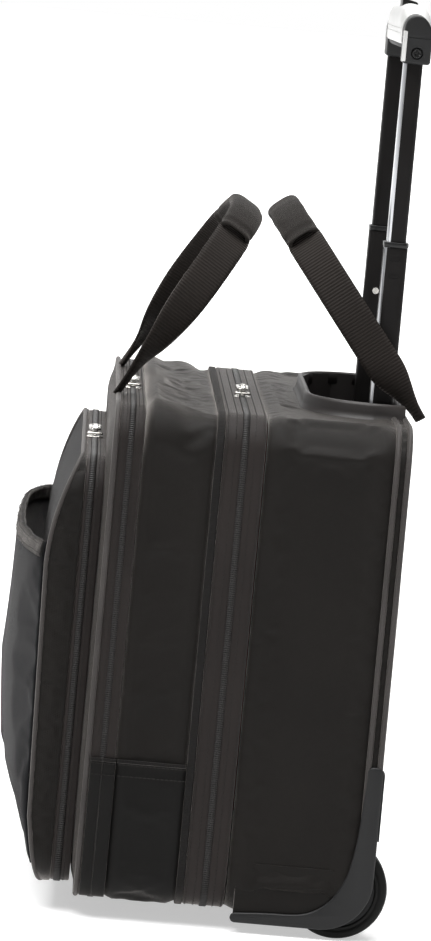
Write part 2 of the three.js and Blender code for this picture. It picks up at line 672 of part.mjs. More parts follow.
// ---------- zip sliders ----------
// Drawn with the zip along x and the tape's face up: the body, its crown, and a pull that turns on the
// crown and lies towards -x.
function buildSlider(name, place) {
  const body = block(-8, 8, -6.5, 6.5, GAP, 4.3);
  const crown = block(-4.5, 4.5, -2, 2, 4, 9.6).subtract(block(-2.5, 2.5, -3, 3, 4.3, 8));
  add(`${name}_slider`, body.add(crown), "nickel", place);
  const axisZ = 6.2;
  const rod = bar("y", 1, -4.6, 4.6, 0, axisZ, 8);
  const arms = block(-8, 0, -4.6, -2.9, axisZ - 0.8, axisZ + 0.8).add(
    block(-8, 0, 2.9, 4.6, axisZ - 0.8, axisZ + 0.8),
  );
  const tab = block(-30, -6.5, -4.6, 4.6, axisZ - 0.8, axisZ + 0.8).subtract(
    block(-26.5, -20, -2.2, 2.2, axisZ - 2, axisZ + 2),
  );
  add(`${name}_pull`, rod.add(arms).add(tab), "nickel", place);
}

function zipPlace(x, y, z) {
  const place = new THREE.Group();
  place.position.set(x, y, z);
  laptopCase.add(place);
  return place;
}

buildRearCompartment();
buildInnerFrame();
buildTray();
for (const [name, side] of SIDES) {
  buildWheelHousing(name, side);
  buildWheel(name, side);
  buildFoot(name, side);
  add(`outer_tube_${name}`, tube(OUTER_TUBE, side * POLE_X, POLE_Y), "alloy");
  buildMiddleStage(name, side);
  buildInnerStage(name, side);
}
buildTubeBase();
buildGrip();
buildSecondCompartment();
buildSecondLid();
buildOrganizer();
buildSlipPocket();
buildHandle("front_handle", FRONT_HANDLE);
buildHandle("rear_handle", REAR_HANDLE);
buildSlider("main_zip", zipPlace(50, MAIN_ZIP_Y, TOP_Z));
buildSlider("second_zip", zipPlace(54, SECOND_ZIP_Y, TOP_Z));
buildSlider("organizer_zip", zipPlace(40, ORGANIZER_ZIP_Y, ORGANIZER.top));

export default laptopCase;
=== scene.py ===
"""A rolling laptop case, dressed over its CAD frame: fabric shells, zips, webbing, trolley and wheels."""
import json
import math

import bmesh
import bpy
import numpy as np
from mathutils import Matrix, Vector


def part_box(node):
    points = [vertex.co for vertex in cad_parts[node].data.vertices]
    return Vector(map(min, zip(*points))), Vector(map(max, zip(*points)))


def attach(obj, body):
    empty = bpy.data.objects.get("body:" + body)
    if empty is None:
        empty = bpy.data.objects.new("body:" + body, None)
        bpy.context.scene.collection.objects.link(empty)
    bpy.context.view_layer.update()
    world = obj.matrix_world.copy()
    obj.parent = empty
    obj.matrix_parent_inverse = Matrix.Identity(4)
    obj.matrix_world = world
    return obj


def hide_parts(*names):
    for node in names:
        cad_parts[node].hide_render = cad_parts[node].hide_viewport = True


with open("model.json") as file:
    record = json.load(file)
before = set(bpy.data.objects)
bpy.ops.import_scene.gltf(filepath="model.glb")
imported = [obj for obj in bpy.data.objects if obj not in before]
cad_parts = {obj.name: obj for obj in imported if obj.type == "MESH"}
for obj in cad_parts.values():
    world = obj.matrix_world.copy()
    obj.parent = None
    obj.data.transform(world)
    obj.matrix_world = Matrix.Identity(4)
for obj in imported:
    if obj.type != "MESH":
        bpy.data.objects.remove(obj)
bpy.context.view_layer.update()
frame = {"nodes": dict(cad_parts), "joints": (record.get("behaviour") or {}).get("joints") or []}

MM = 0.001  # sizes below are in millimetres, and Blender's are in metres
GAP = 0.3
SIDES = (("left", -1), ("right", 1))


def box(node):
    low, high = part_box(node)
    return np.array(low) / MM, np.array(high) / MM


def centre(node):
    low, high = box(node)
    return (low + high) / 2


def between(side, near, far):
    """Two distances out from the middle, on one side of the case, as a low and a high x."""
    return sorted((side * near, side * far))


def at_level(loop, z):
    """A loop of (x, y) points at a height."""
    return np.stack([loop[:, 0], loop[:, 1], np.full(len(loop), z)], 1)


# ---------------------------------------------------------------- places, from the frame
gusset_low, gusset_high = box("rear_gusset")
HALF, BOTTOM, TOP = gusset_high[0], gusset_low[2], gusset_high[2]
CORNER = 28
MAIN_ZIP_Y = box("main_zip_tape_rear")[0][1] - 0.2
SECOND_ZIP_Y = box("second_zip_tape_rear")[0][1] - 0.2
BACK_Y = box("back_panel")[1][1]
MAIN_BACK = box("main_zip_tape_rear")[1][1]
MAIN_FRONT = box("main_zip_tape_front")[0][1]
SECOND_BACK = box("second_zip_tape_rear")[1][1]
SECOND_FRONT = box("second_zip_tape_front")[0][1]
organizer_low, organizer_high = box("organizer_pocket")
ORGANIZER_ZIP_Y = organizer_high[1] + 0.2
ORGANIZER_BACK = ORGANIZER_ZIP_Y - 9
pocket_low, pocket_high = box("slip_pocket")
ORGANIZER_R = 30
LOWER_SEAM = 120


# ---------------------------------------------------------------- camera, floor and light
def aim(obj, azimuth, elevation, distance, target, roll=0.0):
    a, e = math.radians(azimuth), math.radians(elevation)
    back = Vector((math.sin(a) * math.cos(e), -math.cos(a) * math.cos(e), math.sin(e)))
    turn = back.to_track_quat("Z", "Y").to_matrix() @ Matrix.Rotation(math.radians(roll), 3, "Z")
    obj.matrix_world = Matrix.Translation(Vector(target) + back * distance) @ turn.to_4x4()
    bpy.context.scene.collection.objects.link(obj)


def build_camera():
    data = bpy.data.cameras.new("camera")
    data.lens = 192.6
    data.sensor_width = 36
    data.clip_end = 50
    camera = bpy.data.objects.new("camera", data)
    aim(camera, 88.3, 5.98, 3.653, (0.22, -0.005, 0.3385), roll=5.2)
    bpy.context.scene.camera = camera


def build_stage():
    mesh = bpy.data.meshes.new("floor")
    reach = 40
    corners = [(-reach, -reach, 0), (reach, -reach, 0), (reach, reach, 0), (-reach, reach, 0)]
    mesh.from_pydata(corners, [], [(0, 1, 2, 3)])
    floor = bpy.data.objects.new("floor", mesh)
    bpy.context.scene.collection.objects.link(floor)
    look = Look("floor", base=(0.62, 0.62, 0.62), roughness=0.9)
    look.shader.inputs["Emission Color"].default_value = (1, 1, 1, 1)
    look.shader.inputs["Emission Strength"].default_value = 0.5
    patches = look.noise(6, 3)
    look.link(look.ramp(patches, [(0.3, (0.6, 0.6, 0.6)), (0.7, (0.64, 0.64, 0.64))]), "Base Color")
    mesh.materials.append(look.material)


def area_light(name, azimuth, elevation, distance, size, power):
    data = bpy.data.lights.new(name, "AREA")
    data.shape = "DISK"
    data.size = size
    data.energy = power
    aim(bpy.data.objects.new(name, data), azimuth, elevation, distance, (0, 0, 0.3))


def build_light():
    world = bpy.data.worlds.new("studio")
    world.use_nodes = True
    tree = world.node_tree
    direction = tree.nodes.new("ShaderNodeSeparateXYZ")
    tree.links.new(tree.nodes.new("ShaderNodeTexCoord").outputs["Generated"], direction.inputs[0])
    # White low down and behind the case; dim overhead and on the side that it is seen from.
    near = tree.nodes.new("ShaderNodeMath")
    near.operation = "MAXIMUM"
    near.inputs[1].default_value = 0.0
    tree.links.new(direction.outputs["X"], near.inputs[0])
    mixed = tree.nodes.new("ShaderNodeMath")
    mixed.operation = "MULTIPLY_ADD"
    mixed.inputs[1].default_value = 0.3
    tree.links.new(near.outputs[0], mixed.inputs[0])
    tree.links.new(direction.outputs["Z"], mixed.inputs[2])
    sky = tree.nodes.new("ShaderNodeValToRGB")
    tree.links.new(mixed.outputs[0], sky.inputs["Fac"])
    tree.links.new(sky.outputs["Color"], tree.nodes["Background"].inputs["Color"])
    tree.nodes["Background"].inputs["Strength"].default_value = 1.0
    bright, dim = sky.color_ramp.elements
    bright.position, bright.color = 0.08, (1, 1, 1, 1)
    dim.position, dim.color = 0.26, (0.18, 0.18, 0.18, 1)
    bpy.context.scene.world = world
    bpy.context.scene.view_settings.view_transform = "Standard"
    for name, azimuth, elevation, power in (("overhead", 40, 79, 6.0), ("behind", 268, 38, 1.1)):
        sun = bpy.data.lights.new(name, "SUN")
        sun.energy = power
        sun.angle = math.radians(55)
        aim(bpy.data.objects.new(name, sun), azimuth, elevation, 3.0, (0, 0, 0.3))
    area_light("front", 15, 35, 3.2, 1.8, 4)


# ---------------------------------------------------------------- materials
class Look:
    """A Principled material with short calls for the nodes that the looks below use."""

    def __init__(self, name, base, roughness, metallic=0.0, sheen=0.0, sheen_rough=0.4, specular=0.5):
        self.material = bpy.data.materials.new(name)
        self.material.use_nodes = True
        self.tree = self.material.node_tree
        self.shader = self.tree.nodes["Principled BSDF"]
        for socket, value in {
            "Base Color": (*base, 1),
            "Roughness": roughness,
            "Metallic": metallic,
            "Sheen Weight": sheen,
            "Sheen Roughness": sheen_rough,
            "Specular IOR Level": specular,
        }.items():
            self.shader.inputs[socket].default_value = value

    def node(self, kind, inputs=(), **settings):
        made = self.tree.nodes.new(kind)
        for key, value in settings.items():
            setattr(made, key, value)
        for socket, value in dict(inputs).items():
            if isinstance(value, bpy.types.NodeSocket):
                self.tree.links.new(value, made.inputs[socket])
            else:
                made.inputs[socket].default_value = value
        return made

    def link(self, output, socket):
        self.tree.links.new(output, self.shader.inputs[socket])

    def place(self, stretch=(1, 1, 1), uv=False):
        coordinates = self.node("ShaderNodeTexCoord").outputs["UV" if uv else "Object"]
        mapping = self.node("ShaderNodeMapping", {"Vector": coordinates, "Scale": stretch})
        return mapping.outputs["Vector"]

    def noise(self, scale, detail, stretch=(1, 1, 1), distortion=0.0):
        inputs = {"Vector": self.place(stretch), "Scale": scale, "Detail": detail, "Distortion": distortion}
        return self.node("ShaderNodeTexNoise", inputs).outputs["Fac"]

    def wave(self, period, direction):
        """Parallel ridges, one every period millimetres."""
        scale = 2 * math.pi / 20 / (period * MM)
        inputs = {"Vector": self.place(uv=True), "Scale": scale}
        return self.node("ShaderNodeTexWave", inputs, bands_direction=direction).outputs["Fac"]

    def math(self, operation, a, b=0.5):
        return self.node("ShaderNodeMath", {0: a, 1: b}, operation=operation).outputs[0]

    def ramp(self, value, stops):
        made = self.node("ShaderNodeValToRGB", {"Fac": value})
        band = made.color_ramp
        band.elements[0].position, band.elements[1].position = stops[0][0], stops[-1][0]
        for position, _ in stops[1:-1]:
            band.elements.new(position)
        for element, (_, colour) in zip(band.elements, stops):
            element.color = (*colour, 1)
        return made.outputs["Color"]

    def span(self, value, low, high):
        inputs = {"Value": value, "To Min": low, "To Max": high}
        return self.node("ShaderNodeMapRange", inputs).outputs["Result"]

    def bump(self, height, strength, distance, below=None):
        inputs = {"Height": height, "Strength": strength, "Distance": distance * MM}
        if below is not None:
            inputs["Normal"] = below
        return self.node("ShaderNodeBump", inputs).outputs["Normal"]


def shade(colour, factor):
    return tuple(channel * factor for channel in colour)


WARM_SHEEN = (1, 0.93, 0.88, 1)


def fabric(name, colour, thread, sheen, roughness=0.75, strength=0.5):
    """Plain-woven cloth: threads cross over and under each other, and the dye varies softly."""
    look = Look(name, colour, roughness, sheen=sheen, sheen_rough=0.3, specular=0.1)
    look.shader.inputs["Sheen Tint"].default_value = WARM_SHEEN
    warp = look.wave(thread, "X")
    weft = look.wave(thread, "Y")
    grid = {"Vector": look.place(uv=True), "Scale": 1 / (thread * MM)}
    checks = look.node("ShaderNodeTexChecker", grid).outputs["Fac"]
    over = look.node("ShaderNodeMix", {0: checks, 2: warp, 3: weft}, data_type="FLOAT").outputs[0]
    cloudy = look.noise(9, 4, distortion=0.6)
    fine = look.noise(420, 2)
    tone = look.math("ADD", look.math("MULTIPLY", cloudy, 0.7), look.math("MULTIPLY", fine, 0.3))
    tone = look.math("ADD", look.math("MULTIPLY", tone, 0.85), look.math("MULTIPLY", over, 0.15))
    stops = [(0.3, shade(colour, 0.75)), (0.5, colour), (0.72, shade(colour, 1.25))]
    look.link(look.ramp(tone, stops), "Base Color")
    look.link(look.span(cloudy, roughness - 0.08, roughness + 0.08), "Roughness")
    soft = look.bump(look.noise(55, 3), 0.22, 1.2)
    look.link(look.bump(over, strength, thread * 0.35, soft), "Normal")
    return look.material


def ribbed(name, colour, rib, sheen, roughness=0.7, depth=0.4):
    """Narrow woven tape, with ribs across its width and finer threads along it."""
    look = Look(name, colour, roughness, sheen=sheen, sheen_rough=0.3, specular=0.14)
    look.shader.inputs["Sheen Tint"].default_value = WARM_SHEEN
    ribs = look.wave(rib, "X")
    threads = look.wave(0.7, "Y")
    worn = look.noise(14, 3, distortion=0.4)
    tone = look.math("ADD", look.math("MULTIPLY", ribs, 0.35), look.math("MULTIPLY", worn, 0.65))
    stops = [(0.25, shade(colour, 0.65)), (0.5, colour), (0.8, shade(colour, 1.45))]
    look.link(look.ramp(tone, stops), "Base Color")
    look.link(look.span(worn, roughness - 0.1, roughness + 0.1), "Roughness")
    fine = look.bump(threads, 0.35, 0.15)
    look.link(look.bump(ribs, 0.7, depth, fine), "Normal")
    return look.material


def moulded(name, colour, roughness, grain=1100, strength=0.25, wear=1.8, specular=0.3):
    """Injection-moulded plastic or rubber: fine spark grain, soft handling marks, edges rubbed lighter."""
    look = Look(name, colour, roughness, specular=specular)
    marks = look.noise(22, 4, distortion=0.8)
    edge = look.node("ShaderNodeNewGeometry").outputs["Pointiness"]
    sharp = {"Value": edge, "From Min": 0.52, "From Max": 0.62}
    rubbed = look.node("ShaderNodeMapRange", sharp).outputs["Result"]
    base = look.ramp(marks, [(0.3, shade(colour, 0.85)), (0.7, shade(colour, 1.15))])
    blend = {0: look.math("MULTIPLY", rubbed, 0.6), 6: base, 7: (*shade(colour, wear), 1)}
    look.link(look.node("ShaderNodeMix", blend, data_type="RGBA").outputs[2], "Base Color")
    look.link(look.span(marks, roughness - 0.07, roughness + 0.09), "Roughness")
    look.link(look.bump(look.noise(grain, 2), strength, 0.12), "Normal")
    return look.material


def metal(name, colour, roughness, stretch=(1, 1, 1), strength=0.06, metallic=1.0):
    """Drawn, plated or anodised metal, brushed along the stretched axis, with faint smudges."""
    look = Look(name, colour, roughness, metallic=metallic)
    lines = look.noise(500, 3, stretch)
    smudge = look.noise(30, 3)
    look.link(look.ramp(smudge, [(0.3, shade(colour, 0.88)), (0.7, colour)]), "Base Color")
    blend = look.math("ADD", look.math("MULTIPLY", lines, 0.5), look.math("MULTIPLY", smudge, 0.5))
    look.link(look.span(blend, roughness * 0.75, roughness * 1.3), "Roughness")
    look.link(look.bump(lines, strength, 0.1), "Normal")
    return look.material


FABRIC = (0.0080, 0.0069, 0.0060)
LOOKS = {
    "case": fabric("case_fabric", FABRIC, 0.9, 0.8, roughness=0.4),
    "lid_face": fabric("lid_fabric", FABRIC, 0.9, 0.16, roughness=0.6),
    "panel": fabric("lower_panel", (0.0065, 0.0062, 0.0058), 0.6, 0.3, roughness=0.55, strength=0.3),
    "pocket": fabric("pocket_fabric", (0.0080, 0.0081, 0.0090), 0.7, 0.03, roughness=0.65),
    "band": fabric("zip_band", (0.0185, 0.0152, 0.0142), 0.6, 0.65, roughness=0.45, strength=0.35),
    "lining": fabric("red_lining", (0.16, 0.022, 0.018), 0.5, 0.2),
    "grey_lining": fabric("grey_lining", (0.06, 0.06, 0.062), 0.5, 0.2),
    "binding": ribbed("binding", (0.0068, 0.0061, 0.0057), 1.2, 0.3),
    "piping": ribbed("piping", (0.046, 0.042, 0.040), 1.0, 0.25, roughness=0.45, depth=0.15),
    "webbing": ribbed("webbing", (0.0135, 0.0108, 0.0092), 2.4, 0.2, depth=0.5),
    "sleeve": fabric("sleeve", (0.015, 0.013, 0.0115), 0.8, 0.15, strength=0.6),
    "thread": ribbed("thread", (0.024, 0.022, 0.020), 0.5, 0.1, depth=0.1),
    "coil": moulded("zip_coil", (0.012, 0.011, 0.0105), 0.38, strength=0.1),
    "plastic": moulded("moulded_plastic", (0.0080, 0.0081, 0.0084), 0.5),
    "tray": moulded("tray_plastic", (0.030, 0.027, 0.026), 0.45, strength=0.15, wear=2.2),
    "rubber": moulded("wheel_rubber", (0.0045, 0.0046, 0.0042), 0.55, grain=700, wear=1.3,
                      specular=0.14),
    "black": moulded("black_gloss", (0.008, 0.008, 0.008), 0.3, strength=0.08),
    "soft_grip": moulded("soft_grip", (0.018, 0.018, 0.019), 0.6, strength=0.4),
    "silver": metal("silver_shell", (0.60, 0.60, 0.59), 0.38, metallic=0.3, strength=0.03),
    # The alloy look also serves as the painted highlight on the black poles' outer front edges.
    "alloy": metal("anodised_tube_and_highlight", (0.62, 0.63, 0.65), 0.3, (1, 1, 0.02)),
    "tube_black": moulded("black_tube", (0.008, 0.0072, 0.007), 0.5, grain=300, strength=0.05, wear=1.2,
                          specular=0.12),
    "steel": metal("plain_steel", (0.42, 0.42, 0.43), 0.35, (0.05, 1, 1)),
    "nickel": metal("nickel_plate", (0.72, 0.70, 0.66), 0.22),
}


# ---------------------------------------------------------------- mesh helpers
def finish_piece(obj, body, replaces=()):
    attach(obj, body)
    if replaces:
        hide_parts(*replaces)
    return obj


def recalculated(mesh):
    """Turns every face of a closed mesh outwards."""
    work = bmesh.new()
    work.from_mesh(mesh)
    bmesh.ops.recalc_face_normals(work, faces=work.faces)
    work.to_mesh(mesh)
    work.free()


def mesh_object(name, points, faces, looks, uvs=None, kinds=None, smooth=True):
    """points in millimetres; uvs one pair for each face corner; kinds one look index for each face."""
    mesh = bpy.data.meshes.new(name)
    mesh.from_pydata((np.asarray(points) * MM).tolist(), [], faces)
    if uvs is not None:
        flat_uvs = (np.asarray(uvs, np.float32) * MM).ravel()
        mesh.uv_layers.new(name="UVMap").data.foreach_set("uv", flat_uvs)
    for look in looks:
        mesh.materials.append(LOOKS[look])
    if kinds is not None:
        mesh.polygons.foreach_set("material_index", np.asarray(kinds, np.int32))
    mesh.polygons.foreach_set("use_smooth", [smooth] * len(mesh.polygons))
    recalculated(mesh)
    obj = bpy.data.objects.new(name, mesh)
    bpy.context.scene.collection.objects.link(obj)
    return obj


def steps(points, axis, closed):
    """Length along one direction of a grid of points, with one more entry where it closes."""
    track = np.concatenate([points, np.take(points, [0], axis)], axis) if closed else points
    gaps = np.linalg.norm(np.diff(track, axis=axis), axis=2).mean(1 - axis)
    return np.concatenate([[0], np.cumsum(gaps)])


def grid_faces(nu, nv, closed_u, closed_v):
    i, j = np.meshgrid(np.arange(nu - (not closed_u)), np.arange(nv - (not closed_v)), indexing="ij")
    i, j = i.ravel(), j.ravel()
    i2, j2 = (i + 1) % nu, (j + 1) % nv
    faces = np.stack([i * nv + j, i2 * nv + j, i2 * nv + j2, i * nv + j2], 1)
    around = [(i, j), (i + 1, j), (i + 1, j + 1), (i, j + 1)]
    corners = np.stack([np.stack(corner, 1) for corner in around], 1)
    return faces, corners


def grid_object(name, points, looks, kinds_v=None):
    """A grid of points[u, v], closed both ways, as a mesh. kinds_v gives each strip along v its look."""
    faces, corners = grid_faces(*points.shape[:2], True, True)
    u, v = steps(points, 0, True), steps(points, 1, True)
    uvs = np.stack([u[corners[..., 0]], v[corners[..., 1]]], -1).reshape(-1, 2)
    kinds = None if kinds_v is None else np.asarray(kinds_v)[corners[:, 0, 1]]
    return mesh_object(name, points.reshape(-1, 3), faces.tolist(), looks, uvs, kinds)


def hashed(cells, seed):
    """A repeatable number from -1 to 1 for each whole-number cell, by mixing its bits."""
    value = cells[..., 0] * 73856093 ^ cells[..., 1] * 19349663 ^ cells[..., 2] * 83492791
    value = value ^ (seed * 7919 + 17)
    value = (value ^ (value >> 13)) * 1274126177 & 0xFFFFFFFF
    value = (value ^ (value >> 15)) & 0xFFFFFF
    return value / 0x7FFFFF - 1


def noise(points, size, seed=0):
    """Smooth value noise from -1 to 1 whose lumps are about size across; size may differ by axis."""
    where = np.asarray(points) / size
    cell = np.floor(where).astype(np.int64)
    f = where - cell
    f = f * f * (3 - 2 * f)
    total = 0
    for corner in np.ndindex(2, 2, 2):
        weight = np.prod(np.where(np.array(corner) == 1, f, 1 - f), -1)
        total = total + weight * hashed(cell + np.array(corner), seed)
    return total


def ripple(x, z, size, seed):
    """noise over a face seen from the front."""
    x, z = np.broadcast_arrays(x, z)
    return noise(np.stack([x, x * 0, z], -1), size, seed)


def smoothstep(value, low, high):
    t = np.clip((value - low) / (high - low), 0, 1)
    return t * t * (3 - 2 * t)


def run_along(path):
    """The length of a path up to each of its points."""
    return np.concatenate([[0], np.cumsum(np.linalg.norm(np.diff(path, axis=0), axis=1))])


def interpolated(s, run, values):
    return np.stack([np.interp(s, run, column) for column in values.T], 1)


def outline(half=HALF, bottom=BOTTOM, top=TOP, radius=CORNER, count=360):
    """A rounded rectangle seen from the front, from mid-bottom by way of +X: points and normals."""
    points, normals = [(0.0, bottom)], [(0.0, -1.0)]
    spots = [(half - radius, bottom + radius), (half - radius, top - radius)]
    spots += [(-half + radius, top - radius), (-half + radius, bottom + radius)]
    for quarter, (x, z) in enumerate(spots):
        for angle in np.radians(np.linspace(-90, 0, 19) + 90 * quarter):
            normals.append((math.cos(angle), math.sin(angle)))
            points.append((x + radius * math.cos(angle), z + radius * math.sin(angle)))
    points.append(points[0])
    normals.append(normals[0])
    points, normals = np.array(points), np.array(normals)
    run = run_along(points)
    s = np.linspace(0, run[-1], count, endpoint=False)
    at, out = interpolated(s, run, points), interpolated(s, run, normals)
    return at, out / np.linalg.norm(out, axis=1, keepdims=True)


CASE = outline()
LID_SHAPE = outline(214, 16, 377, 28)
ORGANIZER_SHAPE = outline(organizer_high[0], organizer_low[2], organizer_high[2], ORGANIZER_R, 320)


def hoop_points(shape, ys, outs):
    """Points round a case outline: at each outline point, one for each (y, distance out)."""
    at, out = shape
    ys = np.broadcast_to(ys, (len(at), np.shape(ys)[-1]))
    outs = np.broadcast_to(outs, (len(at), np.shape(outs)[-1]))
    x = at[:, None, 0] + out[:, None, 0] * outs
    z = at[:, None, 1] + out[:, None, 1] * outs
    return np.stack([x, ys, z], -1)


def turns(count):
    return np.linspace(0, 2 * math.pi, count, endpoint=False)


def piping_round(name, shape, y, out, radius, body):
    """A welt of cord in cloth that follows a case outline; y may change along it."""
    angles = turns(10)
    ys = np.broadcast_to(np.asarray(y, float).reshape(-1, 1), (len(shape[0]), 1)) + radius * np.cos(angles)
    outs = np.full((len(shape[0]), 1), float(out)) + radius * np.sin(angles)
    return finish_piece(grid_object(name, hoop_points(shape, ys, outs), ["piping"]), body)


def frames_along(path, normal):
    """Tangent, outward normal and sideways direction at each point of an open path."""
    tangent = np.gradient(path, axis=0)
    tangent /= np.linalg.norm(tangent, axis=1, keepdims=True)
    normal = normal - (normal * tangent).sum(1, keepdims=True) * tangent
    normal /= np.linalg.norm(normal, axis=1, keepdims=True)
    return tangent, normal, np.cross(tangent, normal)


def resampled(path, normal, pitch):
    run = run_along(path)
    s = np.arange(pitch / 2, run[-1], pitch)
    return interpolated(s, run, path), interpolated(s, run, normal)


LOZENGE = np.array([[x, y, z] for x in (-0.5, 0.5) for y in (-0.5, 0.5) for z in (0, 0.72)]
                   + [[x * 0.3, y, 1.0] for x in (-1, 1) for y in (-0.4, 0.4)])
LOZENGE_FACES = [(0, 2, 6, 4), (0, 1, 3, 2), (4, 6, 7, 5), (0, 4, 5, 10, 8, 1), (2, 3, 9, 11, 7, 6),
                 (1, 8, 9, 3), (5, 7, 11, 10), (8, 10, 11, 9)]


def repeated(name, path, normal, pitch, size, look, body):
    """Small raised lozenges set in a row: zip teeth or stitches. size is (along, across, high)."""
    at, up = resampled(path, normal, pitch)
    tangent, up, side = frames_along(at, up)
    shape = (LOZENGE * np.array(size))[None]
    points = at[:, None] + tangent[:, None] * shape[..., :1] + side[:, None] * shape[..., 1:2]
    points = points + up[:, None] * shape[..., 2:]
    faces = [[v + k * len(LOZENGE) for v in face] for k in range(len(at)) for face in LOZENGE_FACES]
    made = mesh_object(name, points.reshape(-1, 3), faces, [look])
    return finish_piece(made, body)


def round_path(shape, y, out):
    """A closed path round an outline, and the outward normal along it."""
    at, normal = shape
    y = np.broadcast_to(y, (len(at),))
    path = np.stack([at[:, 0] + normal[:, 0] * out, y, at[:, 1] + normal[:, 1] * out], 1)
    up = np.stack([normal[:, 0], 0 * y, normal[:, 1]], 1)
    return np.concatenate([path, path[:1]]), np.concatenate([up, up[:1]])


def stitches(name, shape, y, out, body):
    path, up = round_path(shape, y, out)
    return repeated(name, path, up, 3.2, (2.304, 0.55, 0.4), "thread", body)


def zip_teeth(name, shape, y, out, body, width=5.2):
    path, up = round_path(shape, y, out)
    return repeated(name, path, up, 1.6, (1.15, width, 1.1), "coil", body)


def rounded_profile(y0, y1, low, high):
    """A flat strip's closed section with softened edges, as ys and outs."""
    middle = (y0 + y1) / 2
    ys = [y0, y0 + 0.3, y0 + 1, middle, y1 - 1, y1 - 0.3, y1, y1, middle, y0]
    outs = [high - 1, high - 0.3, high, high, high, high - 0.3, high - 1, low, low, low]
    return np.array(ys), np.array(outs)


def strip_round(name, shape, ys, outs, look, body, replaces=(), wave=0.0):
    """A flat strip round a case outline, between two y and two distances out; wave lifts it softly."""
    points = hoop_points(shape, *rounded_profile(*ys, *outs))
    outer = 7  # the section's first points, which face out
    if wave:
        lift = noise(points, (60, 30, 60), 3) * wave
        out = np.stack([shape[1][:, 0], 0 * shape[1][:, 0], shape[1][:, 1]], 1)
        points[:, :outer] += out[:, None] * lift[:, :outer, None]
    made = grid_object(name, points, [look, "grey_lining"], kinds_v=[0] * outer + [1, 1, 0])
    return finish_piece(made, body, replaces)


def evaluated(obj):
    """Applies an object's modifiers."""
    graph = bpy.context.evaluated_depsgraph_get()
    mesh = bpy.data.meshes.new_from_object(obj.evaluated_get(graph))
    old = obj.data
    obj.modifiers.clear()
    obj.data = mesh
    bpy.data.meshes.remove(old)
    return obj


LEAST_LEFT = 0.12  # share of its surface that a piece keeps in any of the cuts made here
LEAST_FACES = 12


def cut(obj, *cutters):
    """Takes the cutters away from the object, with the first solver that leaves a whole piece."""
    for cutter in cutters:
        whole = obj.data.copy()
        before = piece_size(obj)
        for solver in ("MANIFOLD", "EXACT", "FAST"):
            modifier = obj.modifiers.new("cut", "BOOLEAN")
            modifier.operation = "DIFFERENCE"
            modifier.solver = solver
            modifier.object = cutter
            evaluated(obj)
            if len(obj.data.polygons) > LEAST_FACES and piece_size(obj) > LEAST_LEFT * before:
                break
            obj.data = whole.copy()
        bpy.data.objects.remove(cutter)
    return obj


def piece_size(obj):
    return sum(polygon.area for polygon in obj.data.polygons)


def prism(name, loop, axis, start, end, look="lining"):
    """A closed loop of (a, b) points pulled along an axis, with flat ends."""
    loop = np.asarray(loop, float)
    order = {"x": (2, 0, 1), "y": (0, 2, 1), "z": (0, 1, 2)}[axis]
    layers = [at_level(loop, level)[:, order] for level in (start, end)]
    n = len(loop)
    faces = [[k, (k + 1) % n, (k + 1) % n + n, k + n] for k in range(n)]
    faces += [list(range(n)), list(range(n, 2 * n))]
    return mesh_object(name, np.concatenate(layers), faces, [look], smooth=False)


def panel_points(shape, depth, rings):
    """A face inside an outline: rings shrinking to the middle, with y from depth(x, z, inward share)."""
    at, _ = shape
    middle = at.mean(0)
    share = (np.linspace(0, 1, rings + 1)) ** (1 / 1.35)
    layers = []
    for t in sorted(1 - share[::-1]):
        flat = middle + (at - middle) * (1 - 0.995 * t)
        layers.append(np.stack([flat[:, 0], depth(flat[:, 0], flat[:, 1], t), flat[:, 1]], 1))
    return np.stack(layers, 1)


def closed_panel(name, shape, front, thickness, looks, rings=14):
    """A face and its lining, a thickness apart along Y, closed round its edge and at its middle."""
    outer = panel_points(shape, front, rings)
    inner = outer[:, ::-1] + np.array([0, thickness, 0])
    points = np.concatenate([outer, inner], 1)
    nu, nv = points.shape[:2]
    fold = nv // 2  # the first column of the lining
    faces, corners = grid_faces(nu, nv, True, False)
    flat = points.reshape(-1, 3)
    column = corners[:, 0, 1]
    keep = column != fold - 1
    faces, kinds = faces[keep].tolist(), (column[keep] >= fold).astype(int).tolist()
    caps = [[i * nv + fold - 1 for i in range(nu)], [i * nv + fold for i in range(nu)]]
    rim = [[i * nv, ((i + 1) % nu) * nv, ((i + 1) % nu) * nv + nv - 1, i * nv + nv - 1] for i in range(nu)]
    faces += caps + rim
    # The panel's weave runs straight up and across, so its map is the flat view from the front.
    uvs = np.concatenate([flat[face][:, [0, 2]] for face in faces])
    return mesh_object(name, flat, faces, looks, uvs, kinds + [0, 1] + [0] * nu)


build_camera()
build_stage()
build_light()


# ---------------------------------------------------------------- cloth
CLOTH_FRAMES = 16


